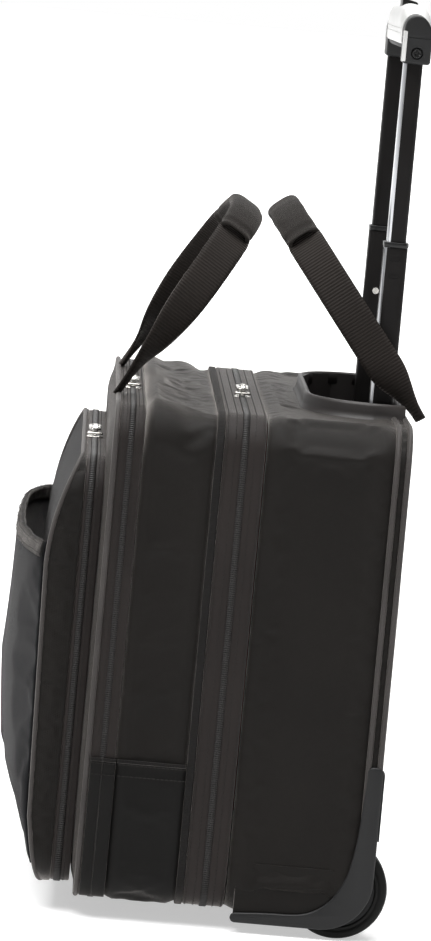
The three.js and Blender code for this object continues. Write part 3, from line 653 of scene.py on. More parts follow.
def cloth_settled(points, pinned, pressure, cap, grow, closed_u=True):
    """Lets a grid of cloth, points[u, v], fill out and buckle between its pinned edges.
    Returns where it lies, with no point more than cap from where it was."""
    nu, nv = points.shape[:2]
    faces, _ = grid_faces(nu, nv, closed_u, False)
    mesh = bpy.data.meshes.new("cloth")
    mesh.from_pydata((points.reshape(-1, 3) * MM).tolist(), [], faces.tolist())
    obj = bpy.data.objects.new("cloth", mesh)
    bpy.context.scene.collection.objects.link(obj)
    pins = obj.vertex_groups.new(name="pins")
    for index, weight in enumerate(np.asarray(pinned, float).ravel()):
        if weight > 0:
            pins.add([index], float(weight), "REPLACE")
    cloth = obj.modifiers.new("cloth", "CLOTH")
    settings = cloth.settings
    settings.quality = 5
    settings.mass = 0.25
    settings.tension_stiffness = settings.compression_stiffness = 12
    settings.shear_stiffness = 6
    settings.bending_stiffness = 0.6
    settings.shrink_min = -grow
    settings.use_pressure = True
    settings.uniform_pressure_force = pressure
    settings.vertex_group_mass = "pins"
    settings.effector_weights.gravity = 0
    cloth.point_cache.frame_start, cloth.point_cache.frame_end = 1, CLOTH_FRAMES
    scene = bpy.context.scene
    for number in range(1, CLOTH_FRAMES + 1):
        scene.frame_set(number)
    graph = bpy.context.evaluated_depsgraph_get()
    result = obj.evaluated_get(graph).to_mesh()
    moved = np.empty(len(result.vertices) * 3)
    result.vertices.foreach_get("co", moved)
    moved = moved.reshape(points.shape) / MM
    scene.frame_set(1)
    bpy.data.objects.remove(obj)
    bpy.data.meshes.remove(mesh)
    shift = moved - points
    length = np.linalg.norm(shift, axis=-1, keepdims=True)
    return points + shift * np.minimum(1, cap / np.maximum(length, 1e-6))


def smoothed(points, closed_u=True):
    """Doubles a grid's fineness along u and v with a smooth curve through its points."""
    return doubled(doubled(points, 0, closed_u), 1, False)


def doubled(points, axis, closed):
    points = np.moveaxis(points, axis, 0)
    if closed:
        before, after, beyond = np.roll(points, 1, 0), np.roll(points, -1, 0), np.roll(points, -2, 0)
        middle = (9 * (points + after) - before - beyond) / 16
        made = np.stack([points, middle], 1).reshape(-1, *points.shape[1:])
    else:
        padded = np.concatenate([2 * points[:1] - points[1:2], points, 2 * points[-1:] - points[-2:-1]])
        middle = (9 * (padded[1:-2] + padded[2:-1]) - padded[:-3] - padded[3:]) / 16
        made = np.empty((2 * len(points) - 1, *points.shape[1:]))
        made[0::2], made[1::2] = points, middle
    return np.moveaxis(made, 0, axis)


def grid_normals(points, closed_u=True):
    if closed_u:
        du = np.roll(points, -1, 0) - np.roll(points, 1, 0)
    else:
        du = np.gradient(points, axis=0)
    normal = np.cross(du, np.gradient(points, axis=1))
    return normal / np.maximum(np.linalg.norm(normal, axis=-1, keepdims=True), 1e-9)


def shell_round(name, shape, stations, crown, body, looks, seed, cap, wall=4.0, pressure=3.0,
                lower=None, replaces=(), puckers=0.5, slack=0.02):
    """A padded gusset: cloth between two seams round a case outline, with its lining inside it.
    stations are the seams' y, and each may change along the outline; crown(x, z, share) is the
    height out; below lower, the outside takes the third look."""
    front, back = (np.broadcast_to(np.asarray(y, float), (len(shape[0]),)) for y in stations)
    count = max(6, int(abs(np.mean(back - front)) / 6))
    share = np.linspace(0, 1, count + 1)
    ys = front[:, None] + (back - front)[:, None] * share
    at = shape[0]
    outs = crown(at[:, :1], at[:, 1:], share[None, :])
    skin = hoop_points(shape, ys, outs)
    pinned = np.zeros(skin.shape[:2])
    pinned[:, [0, -1]] = 1
    pinned[:, [1, -2]] = 0.4
    skin = cloth_settled(skin, pinned, pressure, cap, grow=slack)
    skin = smoothed(skin)
    normal = grid_normals(skin)
    if (normal[..., 0] * skin[..., 0]).mean() < 0:
        normal = -normal
    across = np.linspace(0, 1, skin.shape[1])
    near_seam = np.minimum(across, 1 - across) * abs(np.mean(back - front))
    gathers = noise(skin, (13, 26, 13), seed) * np.exp(-((near_seam - 7) / 7) ** 2)[None, :]
    broad = noise(skin, (70, 45, 70), seed + 1) * np.minimum(near_seam / 15, 1)[None, :]
    skin = skin + normal * (gathers * puckers + broad * 1.1 * puckers)[..., None]
    inner = skin[:, ::-1] - normal[:, ::-1] * wall
    inner[:, [0, -1], 1] = skin[:, [-1, 0], 1]
    points = np.concatenate([skin, inner], 1)
    kinds = [0] * (skin.shape[1] + 3) + [1] * (inner.shape[1] - 6) + [0] * 3
    made = grid_object(name, points, looks, kinds_v=kinds)
    if lower is not None:
        centres = np.array([polygon.center[:] for polygon in made.data.polygons]) / MM
        index = np.zeros(len(centres), np.int32)
        made.data.polygons.foreach_get("material_index", index)
        index[(index == 0) & (centres[:, 2] < lower)] = 2
        made.data.polygons.foreach_set("material_index", index)
    return finish_piece(made, body, replaces)


# ---------------------------------------------------------------- rear compartment
def tray_loop(grow, count=48):
    """The trolley tray's plan: straight along the back, narrowing to a rounded front."""
    low, high = box("trolley_tray")
    wide, back, front = high[0] + grow, high[1] + grow, low[1] - grow
    t = np.linspace(0, 1, count)
    p = np.array([(wide, 112), (wide, 90), (118 + grow, front), (70, front)], float)
    curve = sum(c * ((1 - t) ** (3 - k) * t ** k)[:, None] * p[k] for k, c in enumerate((1, 3, 3, 1)))
    right = np.concatenate([[(wide, back)], curve])
    left = right[::-1] * (-1, 1)
    return np.concatenate([right, left])


TUCK = 1.2  # how far in the cloth is drawn at a seam


def tucked(height, share, edge):
    """Height out across a gusset: tucked in at both seams and full between them."""
    rise = np.clip(np.minimum(share, 1 - share) / edge, 0, 1)
    return -TUCK + (height + TUCK) * np.sin(rise * math.pi / 2)


def side_crown(height, edge=0.12):
    def crown(x, z, share):
        return tucked(height, share, edge) + 0 * x

    return crown


WELL_RADIUS = 42.3
MOULDED_CURVE = 37.5  # the corner guard's outer curve


def wheel_room(side):
    start = box("wheel_housing_right")[0][0] - 0.6
    ends = between(side, start, HALF - 1.4)
    return cylinder("room", WELL_RADIUS + 0.9, ends, centre("tyre_right")[1:], "lining", 40)


def arc(y, z, radius, start, end, count):
    """Points on an arc between two angles in degrees."""
    angles = np.radians(np.linspace(start, end, count))
    return [(y + radius * math.cos(a), z + radius * math.sin(a)) for a in angles]


def corner_room(side):
    """All that lies outside the guard's curve at one of the case's lower back corners."""
    low, high = box("wheel_housing_right")
    curve, rear = MOULDED_CURVE, high[1] - 1.6
    loop = arc(rear - curve, low[2] + curve, curve, -90, 0, 22)
    loop += [(rear + 40, low[2] + curve), (rear + 40, -30), (rear - curve, -30)]
    return prism("corner", loop, "x", *between(side, low[0] - 0.6, 260))


def rear_rooms():
    rooms = [prism("tray_room", tray_loop(0.4), "z", 330, 420)]
    return rooms + [room(side) for side in (-1, 1) for room in (wheel_room, corner_room)]


def build_rear_compartment():
    rim = BACK_Y - 11
    looks = ("case", "lining")
    shell = shell_round("rear_shell", CASE, (MAIN_BACK + 1, rim), side_crown(1.6), "case", looks, 5,
                        pressure=2.0, cap=2.2, puckers=0.4, slack=0.012, replaces=["rear_gusset"])
    cut(shell, *rear_rooms())
    edge = shell_round("rear_edge", CASE, (rim, BACK_Y - 3), side_crown(0.9, edge=0.3), "case", looks, 8,
                       pressure=1, cap=1, puckers=0.2)
    cut(edge, *rear_rooms())
    for name, y in (("rear_piping_front", rim), ("rear_piping_back", BACK_Y - 2.6)):
        cut(piping_round(name, CASE, y, 0.7, 2.1, "case"), *rear_rooms())

    def back(x, z, t):
        return BACK_Y - 2.6 + 4.0 * smoothstep(t, 0, 0.09) + ripple(x, z, 60, 4) * 0.6

    inset = outline(HALF - 0.5, BOTTOM + 0.5, TOP - 0.5, CORNER - 0.5)
    panel = closed_panel("back_cloth", inset, back, -3.6, looks)
    finish_piece(panel, "case", ["back_panel"])
    cut(panel, *rear_rooms())


def build_aprons():
    """The cloth that comes down straight behind each corner guard, over the rounded edge of the case."""
    loop = rounded_loop(37, BOTTOM - 2.5, BACK_Y + 0.5, 52, 2)
    for name, side in SIDES:
        apron = prism(f"corner_apron_{name}", loop, "x", *between(side, HALF - 2.4, HALF + 0.2), "case")
        cut(apron, corner_room(side))
        finish_piece(apron, "case")


def build_band(name, zip_y, tape, body_rear, body_front, lift):
    """A zip round the case: a strip of cloth each side of the teeth, with its rows of stitches."""
    shape = CASE
    for part, y0, y1, body, node in (
        ("rear", zip_y + GAP, zip_y + tape, body_rear, f"{name}_zip_tape_rear"),
        ("front", zip_y - tape, zip_y - GAP, body_front, f"{name}_zip_tape_front"),
    ):
        strip_round(f"{name}_band_{part}", shape, (y0, y1), (-2.4, lift), "band", body, [node], wave=0.35)
    strip_round(f"{name}_tape", shape, (zip_y - 2.6, zip_y + 2.6), (-3.4, -0.8), "coil", body_rear)
    for part, side, body in (("rear", 1, body_rear), ("front", -1, body_front)):
        stitches(f"{name}_seam_{part}", shape, zip_y + side * (tape * 0.48), lift - 0.1, body)
        stitches(f"{name}_edge_{part}", shape, zip_y + side * (tape - 1.8), lift - 0.1, body)


def build_main_zip():
    build_band("main", MAIN_ZIP_Y, MAIN_BACK - MAIN_ZIP_Y, "case", "front_section", 1.0)
    zip_teeth("main_zip_coil", CASE, MAIN_ZIP_Y, 0.6, "case")


# ---------------------------------------------------------------- second compartment
def build_second_compartment():
    edge, seam = 0.1, MAIN_FRONT - 6

    def crown(x, z, share):
        rise = np.clip(np.minimum(share, 1 - share) / edge, 0, 1)
        top = smoothstep(z, TOP - 45, TOP)
        slope = 1.2 + top * (8.0 * (1 - share) - 3.0)
        y = SECOND_BACK + (seam - SECOND_BACK) * share
        # Long folds run across the top, and drift back towards the main band on the right.
        along, across = x + 0.1 * y, y - 0.11 * x
        along, across = np.broadcast_arrays(along + 0 * share, across + 0 * share)
        fold = noise(np.stack([along, across, 0 * along], -1), (190, 8, 8), 15)
        slope = slope + top * 2.0 * fold * np.clip(rise, 0.15, 1)
        return tucked(slope, share, edge)

    shell_round("second_shell", CASE, (SECOND_BACK + 0.5, seam), crown, "front_section",
                ("case", "grey_lining", "panel"), 11, lower=LOWER_SEAM, puckers=0.35, slack=0.012, cap=3,
                replaces=["second_compartment"])
    strip_round("second_binding", CASE, (seam, MAIN_FRONT - GAP), (-2.4, 1.5), "binding", "front_section")

    def partition(x, z, t):
        return MAIN_FRONT - 4.3 + 0 * x

    inset = outline(HALF - 5, BOTTOM + 5, TOP - 5, CORNER - 5)
    panel = closed_panel("partition", inset, partition, 3.6, ("grey_lining", "grey_lining"))
    finish_piece(panel, "front_section")
    # The welt where the smoother lower panel joins, on both sides.
    for name, side in SIDES:
        welt_seam(f"second_welt_{name}", side, HALF + 3.0, (SECOND_BACK + 2, seam - 1), 40, "front_section")


def welt_seam(name, side, reach, ends, count, body):
    """A turned and top-stitched seam across a side panel: a low rib with two rows of stitches below."""
    ys = np.linspace(*ends, count)
    path = np.stack([np.full(count, side * reach), ys, np.full(count, LOWER_SEAM - 0.4)], 1)
    _, normal, across = frames_along(path, np.tile([float(side), 0, 0], (count, 1)))
    angles = turns(8)
    ring = np.stack([np.cos(angles) * 1.4, np.sin(angles) * 0.9], 1)
    made = capped_sweep(name, swept(path, across, normal, ring), "binding")
    finish_piece(made, body)
    for row, drop in (("upper", 2.6), ("lower", 11.0)):
        line = path + normal * 0.2 - (0, 0, drop)
        repeated(f"{name}_stitches_{row}", line, normal, 3.2, (2.3, 0.5, 0.4), "thread", body)


def swept(path, across, up, ring):
    """A ring of (across, up) points at each point of a path."""
    return path[:, None] + across[:, None] * ring[None, :, :1] + up[:, None] * ring[None, :, 1:]


def capped_sweep(name, points, look):
    """A closed ring swept along an open path, points[along, round], with both ends closed."""
    nu, nv = points.shape[:2]
    faces, corners = grid_faces(nu, nv, False, True)
    u, v = steps(points, 0, False), steps(points, 1, True)
    uvs = np.stack([u[corners[..., 0]], v[corners[..., 1]]], -1).reshape(-1, 2)
    ends = [list(range(nv)), list(range((nu - 1) * nv, nu * nv))]
    uvs = np.concatenate([uvs, np.zeros((2 * nv, 2))])
    return mesh_object(name, points.reshape(-1, 3), faces.tolist() + ends, [look], uvs)


def build_second_zip():
    """The zip runs down to the lower panel on each side, whose cloth goes over its ends."""
    build_band("second", SECOND_ZIP_Y, SECOND_BACK - SECOND_ZIP_Y, "front_section", "second_lid", 0.8)
    zip_teeth("second_zip_coil", CASE, SECOND_ZIP_Y, 0.5, "front_section", 4.6)
    for name, y0, y1, body in (("rear", SECOND_ZIP_Y + GAP, SECOND_BACK + 1, "front_section"),
                               ("front", SECOND_FRONT + 0.5, SECOND_ZIP_Y - GAP, "second_lid")):
        cover = strip_round(f"lower_panel_{name}", CASE, (y0, y1), (-1.0, 2.7), "panel", body)
        above = block("above", (-260, y0 - 5, LOWER_SEAM), (260, y1 + 5, 420), 1, "panel")
        # Past the fold that the lid turns on, the cover would meet its neighbour as the lid opens.
        below = block("below", (-260, y0 - 5, BOTTOM - 20), (260, y1 + 5, BOTTOM + 1.3), 1, "panel")
        cut(cover, above, below)
        for side_name, side in SIDES:
            welt_seam(f"lower_welt_{name}_{side_name}", side, HALF + 2.9, (y0, y1), 12, body)


def build_second_lid():
    welt_y = SECOND_FRONT - 2.0
    piping_round("lid_piping", LID_SHAPE, welt_y, 2.2, 2.1, "second_lid")

    def front(x, z, t):
        return welt_y - 1.5 - 4.5 * smoothstep(t, 0, 0.1) + ripple(x, z, 45, 9) * 0.5

    panel = closed_panel("lid_cloth", LID_SHAPE, front, 3.0, ("lid_face", "grey_lining"), rings=22)
    finish_piece(panel, "second_lid", ["second_lid"])
    ys = ORGANIZER_ZIP_Y + GAP, ORGANIZER_ZIP_Y + 9
    strip_round("organizer_band_rear", ORGANIZER_SHAPE, ys, (-2.4, 0.4), "band", "second_lid")
    stitches("organizer_seam_rear", ORGANIZER_SHAPE, ORGANIZER_ZIP_Y + 4.6, 0.3, "second_lid")


# ---------------------------------------------------------------- organizer and slip pocket
DEEPEST_Z = 255  # the height at which the organizer is deepest


def organizer_side(z):
    """How far in front of its zip the organizer's side reaches, at a height."""
    top, bottom = organizer_high[2], organizer_low[2]
    above = 3 + 20 * (1 - (np.clip(z - DEEPEST_Z, 0, None) / (top - DEEPEST_Z)) ** 2)
    below = 23 - 4 * np.clip((DEEPEST_Z - z) / 190, 0, 1)
    foot = 6 + (below - 6) * np.sqrt(np.clip((z - bottom) / 50, 0, 1))
    return np.where(z > DEEPEST_Z, above, np.minimum(below, foot))


def build_organizer():
    rear = ORGANIZER_BACK + 4
    seam = rear - organizer_side(ORGANIZER_SHAPE[0][:, 1])

    def crown(x, z, share):
        return 0.6 + 0.8 * np.sin(np.clip(share, 0, 1) * math.pi) + 0 * x + 0 * z

    shell_round("organizer_gusset", ORGANIZER_SHAPE, (seam, rear), crown, "organizer",
                ("case", "grey_lining"), 21, wall=2.6, pressure=1.0, cap=2, replaces=["organizer_pocket"])
    piping_round("organizer_piping", ORGANIZER_SHAPE, seam, 0.4, 1.7, "organizer")
    ys = rear, ORGANIZER_ZIP_Y - GAP
    strip_round("organizer_band_front", ORGANIZER_SHAPE, ys, (-2.0, 0.4), "band", "organizer")
    zip_teeth("organizer_coil", ORGANIZER_SHAPE, ORGANIZER_ZIP_Y, 0.2, "second_lid", 5.0)

    def front(x, z, t):
        folds = ripple(x, z, (80, 1, 50), 23) * 1.2 * smoothstep(t, 0.03, 0.3)
        hollow = 3.5 * smoothstep(t, 0.0, 0.45)
        return np.maximum(rear - organizer_side(z) - hollow + folds, pocket_low[1] + 8)

    looks = ("pocket", "grey_lining")
    panel = closed_panel("organizer_front", ORGANIZER_SHAPE, front, 2.4, looks, rings=26)
    finish_piece(panel, "organizer")


def slip_surface():
    """The slip pocket's cloth: sewn down both sides and along the bottom, bowed forward, open above."""
    half, bottom, mouth = pocket_high[0] + 2, pocket_low[2], pocket_high[2]
    x = np.linspace(-half, half, 61)[:, None]
    s = np.linspace(0, 1, 41)[None, :]
    z = bottom + (mouth - bottom) * s + 0 * x
    seam = ORGANIZER_BACK + 4 - organizer_side(z) - 3.0
    across = np.clip(1 - (np.abs(x) / half) ** 2.4, 0, 1) ** 0.8
    full = np.interp(s, [0, 0.25, 0.55, 1], [0.0, 0.75, 1.0, 0.86])
    y = seam + (pocket_low[1] + 1.5 - seam) * across * full
    folds = ripple(x, z, (60, 1, 110), 31) * 1.4 * across
    z = z + 3.0 * across * s  # the mouth's hem rises a little in the middle
    return np.stack([x + 0 * z, y + folds, z], -1)


def two_sided(name, skin, thickness, looks, body, replaces=()):
    """A sheet with a back face a thickness behind it, closed round its edges."""
    normal = grid_normals(skin, closed_u=False)
    if normal[..., 1].mean() > 0:
        normal = -normal
    back = skin - normal * thickness
    nu, nv = skin.shape[:2]
    points = np.concatenate([skin.reshape(-1, 3), back.reshape(-1, 3)])
    faces, _ = grid_faces(nu, nv, False, False)
    border = [i * nv for i in range(nu)] + [(nu - 1) * nv + j for j in range(1, nv)]
    border += [i * nv + nv - 1 for i in range(nu - 2, -1, -1)] + list(range(nv - 2, 0, -1))
    total = nu * nv
    rim = [[a, b, b + total, a + total] for a, b in zip(border, border[1:] + border[:1])]
    faces = faces.tolist() + (faces + total).tolist() + rim
    uvs = np.concatenate([points[face][:, [0, 2]] for face in faces])
    kinds = [0] * (nu - 1) * (nv - 1) + [1] * (nu - 1) * (nv - 1) + [0] * len(rim)
    made = mesh_object(name, points, faces, looks, uvs, kinds)
    return finish_piece(made, body, replaces)


def build_slip_pocket():
    skin = slip_surface()
    pinned = np.zeros(skin.shape[:2])
    pinned[[0, -1], :] = 1
    pinned[:, 0] = 1
    pinned[:, -1] = 0.35
    skin = cloth_settled(skin, pinned, 0.4, 3.0, closed_u=False, grow=0.012)
    skin = smoothed(skin, closed_u=False)
    pocket = two_sided("pocket_cloth", skin, 1.6, ("pocket", "grey_lining"), "organizer", ["slip_pocket"])
    hem_place = np.array([0, -0.7, 0.6])
    hem_piece = two_sided("pocket_hem", skin[:, -5:] + hem_place, 3.0, ("binding", "binding"), "organizer")
    normal = grid_normals(skin, closed_u=False)
    normal = normal * np.sign(-normal[..., 1].mean())
    for k, column in enumerate((-2, -4)):
        line = skin[:, column] + normal[:, column] * 0.9 + hem_place
        row = f"pocket_hem_stitches_{k}"
        repeated(row, line, normal[:, column], 3.0, (2.2, 0.5, 0.4), "thread", "organizer")


def build_back_pocket():
    low, high = box("back_pocket")
    x = np.linspace(low[0], high[0], 49)[:, None]
    s = np.linspace(0, 1, 25)[None, :]
    z = low[2] + (high[2] - low[2]) * s + 0 * x
    across = np.clip(1 - (np.abs(x) / high[0]) ** 6, 0, 1)
    y = BACK_Y + 0.4 + 4.0 * across * np.interp(s, [0, 0.2, 1], [0, 0.8, 1.0])
    y = y + ripple(x, z, 50, 41) * 0.5 * across
    skin = smoothed(np.stack([x + 0 * z, y, z], -1)[::-1], closed_u=False)
    pocket = two_sided_back("back_pocket_cloth", skin, 1.4, ("case", "lining"), ["back_pocket"])
    hem_place = np.array([0, 0.6, 0.5])
    hem_piece = two_sided_back("back_pocket_hem", skin[:, -5:] + hem_place, 2.4, ("binding", "binding"))


def two_sided_back(name, skin, thickness, looks, replaces=()):
    """As two_sided, for cloth of the case that faces the back."""
    turned = skin * np.array([-1, -1, 1])
    made = two_sided(name, turned, thickness, looks, "case", replaces)
    made.data.transform(Matrix.Diagonal((-1, -1, 1, 1)))
    return made


# ---------------------------------------------------------------- hard parts: shared shaping
def shaded_smooth(obj, angle):
    """Smooth shading, with the edges sharper than an angle kept."""
    obj.data.polygons.foreach_set("use_smooth", [True] * len(obj.data.polygons))
    obj.data.set_sharp_from_angle(angle=math.radians(angle))


def bevelled(obj, width, segments=2, angle=35):
    modifier = obj.modifiers.new("bevel", "BEVEL")
    modifier.width = width * MM
    modifier.segments = segments
    modifier.limit_method = "ANGLE"
    modifier.angle_limit = math.radians(angle)
    evaluated(obj)
    shaded_smooth(obj, 50)
    return obj


def rounded_loop(a0, b0, a1, b1, r, spans=6):
    """A rounded rectangle between two corners, as a loop of points."""
    centres = [(a1 - r, b0 + r), (a1 - r, b1 - r), (a0 + r, b1 - r), (a0 + r, b0 + r)]
    points = []
    for quarter, (a, b) in enumerate(centres):
        points += arc(a, b, r, 90 * quarter - 90, 90 * quarter, spans + 1)
    return np.array(points)


def block(name, low, high, r, look, axis="z"):
    """A box with rounded corners in the plane across its axis."""
    a, b, along = {"x": (1, 2, 0), "y": (0, 2, 1), "z": (0, 1, 2)}[axis]
    loop = rounded_loop(low[a], low[b], high[a], high[b], r)
    return prism(name, loop, axis, low[along], high[along], look)


def cylinder(name, radius, ends, middle, look, sides=32):
    """A bar along X, between two ends, round a middle (y, z)."""
    angles = turns(sides)
    loop = np.stack([middle[0] + radius * np.cos(angles), middle[1] + radius * np.sin(angles)], 1)
    return prism(name, loop, "x", *ends, look)


def joined_objects(name, objects):
    """Several objects as one, each keeping its looks."""
    work = bmesh.new()
    looks = []
    for obj in objects:
        for material in obj.data.materials:
            if material not in looks:
                looks.append(material)
        index = [looks.index(material) for material in obj.data.materials]
        start = len(work.faces)
        work.from_mesh(obj.data)
        work.faces.ensure_lookup_table()
        for face in work.faces[start:]:
            face.material_index = index[face.material_index]
    mesh = bpy.data.meshes.new(name)
    work.to_mesh(mesh)
    work.free()
    for material in looks:
        mesh.materials.append(material)
    for obj in objects:
        bpy.data.objects.remove(obj)
    made = bpy.data.objects.new(name, mesh)
    bpy.context.scene.collection.objects.link(made)
    return made


# ---------------------------------------------------------------- carry handles
def spline(points, per_span=14):
    """A smooth curve through all the points (Catmull-Rom)."""
    p = np.concatenate([2 * points[:1] - points[1:2], points, 2 * points[-1:] - points[-2:-1]])
    t = np.linspace(0, 1, per_span, endpoint=False)[:, None]
    spans = []
    for a, b, c, d in zip(p, p[1:], p[2:], p[3:]):
        square, cube = 2 * a - 5 * b + 4 * c - d, 3 * b - a - 3 * c + d
        spans.append(0.5 * (2 * b + (c - a) * t + square * t**2 + cube * t**3))
    return np.concatenate(spans + [points[-1:]])


def even(path, count):
    """A path's points spaced evenly, and how far along it each one is."""
    run = run_along(path)
    s = np.linspace(0, run[-1], count)
    return interpolated(s, run, path), s


def joint_at(name):
    joint = next(j for j in frame["joints"] if j["name"] == name)
    return np.array(joint["pos_m"]) / MM


def flat_section(width, thick):
    """A woven strap's section: flat faces, with the selvedges a little thicker."""
    a = np.linspace(-0.5, 0.5, 9)
    lift = 1 + 0.25 * smoothstep(np.abs(a), 0.36, 0.44) - 0.55 * smoothstep(np.abs(a), 0.45, 0.5)
    top = np.stack([a * width, lift * thick / 2], 1)
    return np.concatenate([top, top[::-1] * (1, -1)])


APEX_HALF = 62  # half the length of an arch's flat top


class Handle:
    """An arch of webbing in a leaning plane; s runs along it from its right foot."""

    def __init__(self, name, half, sewn, raised):
        foot = joint_at(f"{name}_swing")
        low, high = box(f"{name}_sleeve")
        top = np.array([0, (low[1] + high[1]) / 2, (low[2] + high[2]) / 2 + raised])
        self.name = name
        self.across = np.array([1.0, 0, 0])
        self.lean = top - foot * (0, 1, 1)
        length = np.linalg.norm(self.lean)
        self.lean = self.lean / length
        self.out = np.cross(self.across, self.lean)
        right = [(half, -sewn), (half - 0.5, length * 0.3), (half - 4, length * 0.56),
                 (half - 22, length * 0.8), (APEX_HALF + 8, length * 0.94),
                 (APEX_HALF - 26, length * 0.995), (0, length)]
        flat = np.array(right + [(-u, v) for u, v in right[-2::-1]], float)
        flat, self.s = even(spline(flat), 241)
        self.path = foot * (0, 1, 1) + flat[:, :1] * self.across + flat[:, 1:] * self.lean
        self.total = self.s[-1]

    def section_frames(self, turn=0.0):
        """Directions across the strap and out of its face, turned by an angle at each point."""
        tangent = np.gradient(self.path, axis=0)
        tangent /= np.linalg.norm(tangent, axis=1, keepdims=True)
        inside = np.cross(tangent, np.tile(self.out, (len(tangent), 1)))
        turn = (turn + 0 * self.s)[:, None]
        wide = np.cos(turn) * self.out + np.sin(turn) * inside
        return wide, np.cross(wide, tangent)

    def webbing(self, twist, reach, foot_width):
        """twist is the strap's turn at its sewn ends, and reach is how far up it has gone."""
        from_end = np.minimum(self.s, self.total - self.s)
        turn = math.radians(twist) * (1 - smoothstep(from_end, 0, reach))
        turn = turn * np.where(self.s < self.total / 2, 1, -1)
        wide, face = self.section_frames(turn)
        width = foot_width + (27.5 - foot_width) * smoothstep(from_end, 4, 46)
        covered = smoothstep(from_end, self.total * 0.31, self.total * 0.35)
        width = width * (1 - 0.25 * covered)
        ring = flat_section(1, 2.0)
        flatten = 1 - smoothstep(from_end, 0, 60)
        curl = 0.16 * width[:, None] * (2 * np.abs(ring[None, :, 0])) ** 2 * flatten[:, None]
        points = self.path[:, None] + wide[:, None] * (ring[None, :, :1] * width[:, None, None])
        points = points + face[:, None] * (ring[None, :, 1:] + curl[..., None])
        made = capped_sweep(f"{self.name}_webbing_strap", points, "webbing")
        finish_piece(made, self.name, [f"{self.name}_webbing"])

    def sleeve(self, seed):
        """The padded wrap round the folded webbing: soft, closed underneath, hemmed at both ends."""
        covered = (self.s > self.total * 0.315) & (self.s < self.total * 0.685)
        middle = self.path[covered]
        wide, face = (direction[covered] for direction in self.section_frames())
        share = np.linspace(-1, 1, len(middle))
        angles = turns(36)
        a, b = np.cos(angles), np.sin(angles)
        across = np.sign(a) * np.abs(a) ** 0.62 * 13.2
        deep = np.sign(b) * np.abs(b) ** 0.85 * 6.4
        hem = 1 - 0.1 * smoothstep(np.abs(share), 0.86, 0.9) + 0.1 * smoothstep(np.abs(share), 0.93, 0.97)
        end = 1 - 0.22 * smoothstep(np.abs(share), 0.98, 1.0)
        scale = (hem * end)[:, None]
        points = middle[:, None] + wide[:, None] * (across * scale)[..., None]
        points = points + face[:, None] * (deep * (0.9 + 0.1 * scale) * hem[:, None])[..., None]
        radial = points - middle[:, None]
        radial /= np.linalg.norm(radial, axis=-1, keepdims=True)
        folds = noise(points, (16, 9, 9), seed) * 0.5 + noise(points, (40, 22, 22), seed + 1) * 0.6
        points = points + radial * folds[..., None]
        # Each end turns in round the strap, so the sleeve reads as a wrap and not a solid.
        turned = []
        for end, inward in ((0, 3), (-1, -4)):
            heart = points[end].mean(0)
            inset = points[inward].mean(0) - heart
            turned.append([heart + (points[end] - heart) * 0.8 + inset])
        points = np.concatenate([turned[0], points, turned[1]])
        made = capped_sweep(f"{self.name}_sleeve_wrap", points, "sleeve")
        finish_piece(made, self.name, [f"{self.name}_sleeve"])
        inner = slice(4, -4)
        for side, mark in ((1, "upper"), (-1, "lower")):
            line = middle[inner] + wide[inner] * side * 12.2 + face[inner] * 2.6
            lift = wide[inner] * side + face[inner] * 0.8
            row = f"{self.name}_sleeve_stitches_{mark}"
            repeated(row, line, lift, 3.0, (2.2, 0.5, 0.4), "thread", self.name)


def build_handles():
    half = box("front_handle_webbing")[1][0] - 1.3
    front = Handle("front_handle", half, sewn=3, raised=3)
    front.webbing(twist=82, reach=120, foot_width=17)
    front.sleeve(51)
    # The rear strap's feet stand wider, so that it passes outside the trolley's tubes.
    rear = Handle("rear_handle", half + 3.4, sewn=9, raised=6)
    rear.webbing(twist=-60, reach=60, foot_width=14)
    rear.sleeve(61)


# ---------------------------------------------------------------- zip sliders
def closed_sweep(name, loop, ring, look):
    """A ring of (across, up) points taken round a closed loop that lies level."""
    closed = np.concatenate([loop, loop[:1]])
    _, up, across = frames_along(closed, np.tile([0.0, 0, 1.0], (len(closed), 1)))
    return grid_object(name, swept(closed[:-1], across[:-1], up[:-1], ring), [look])


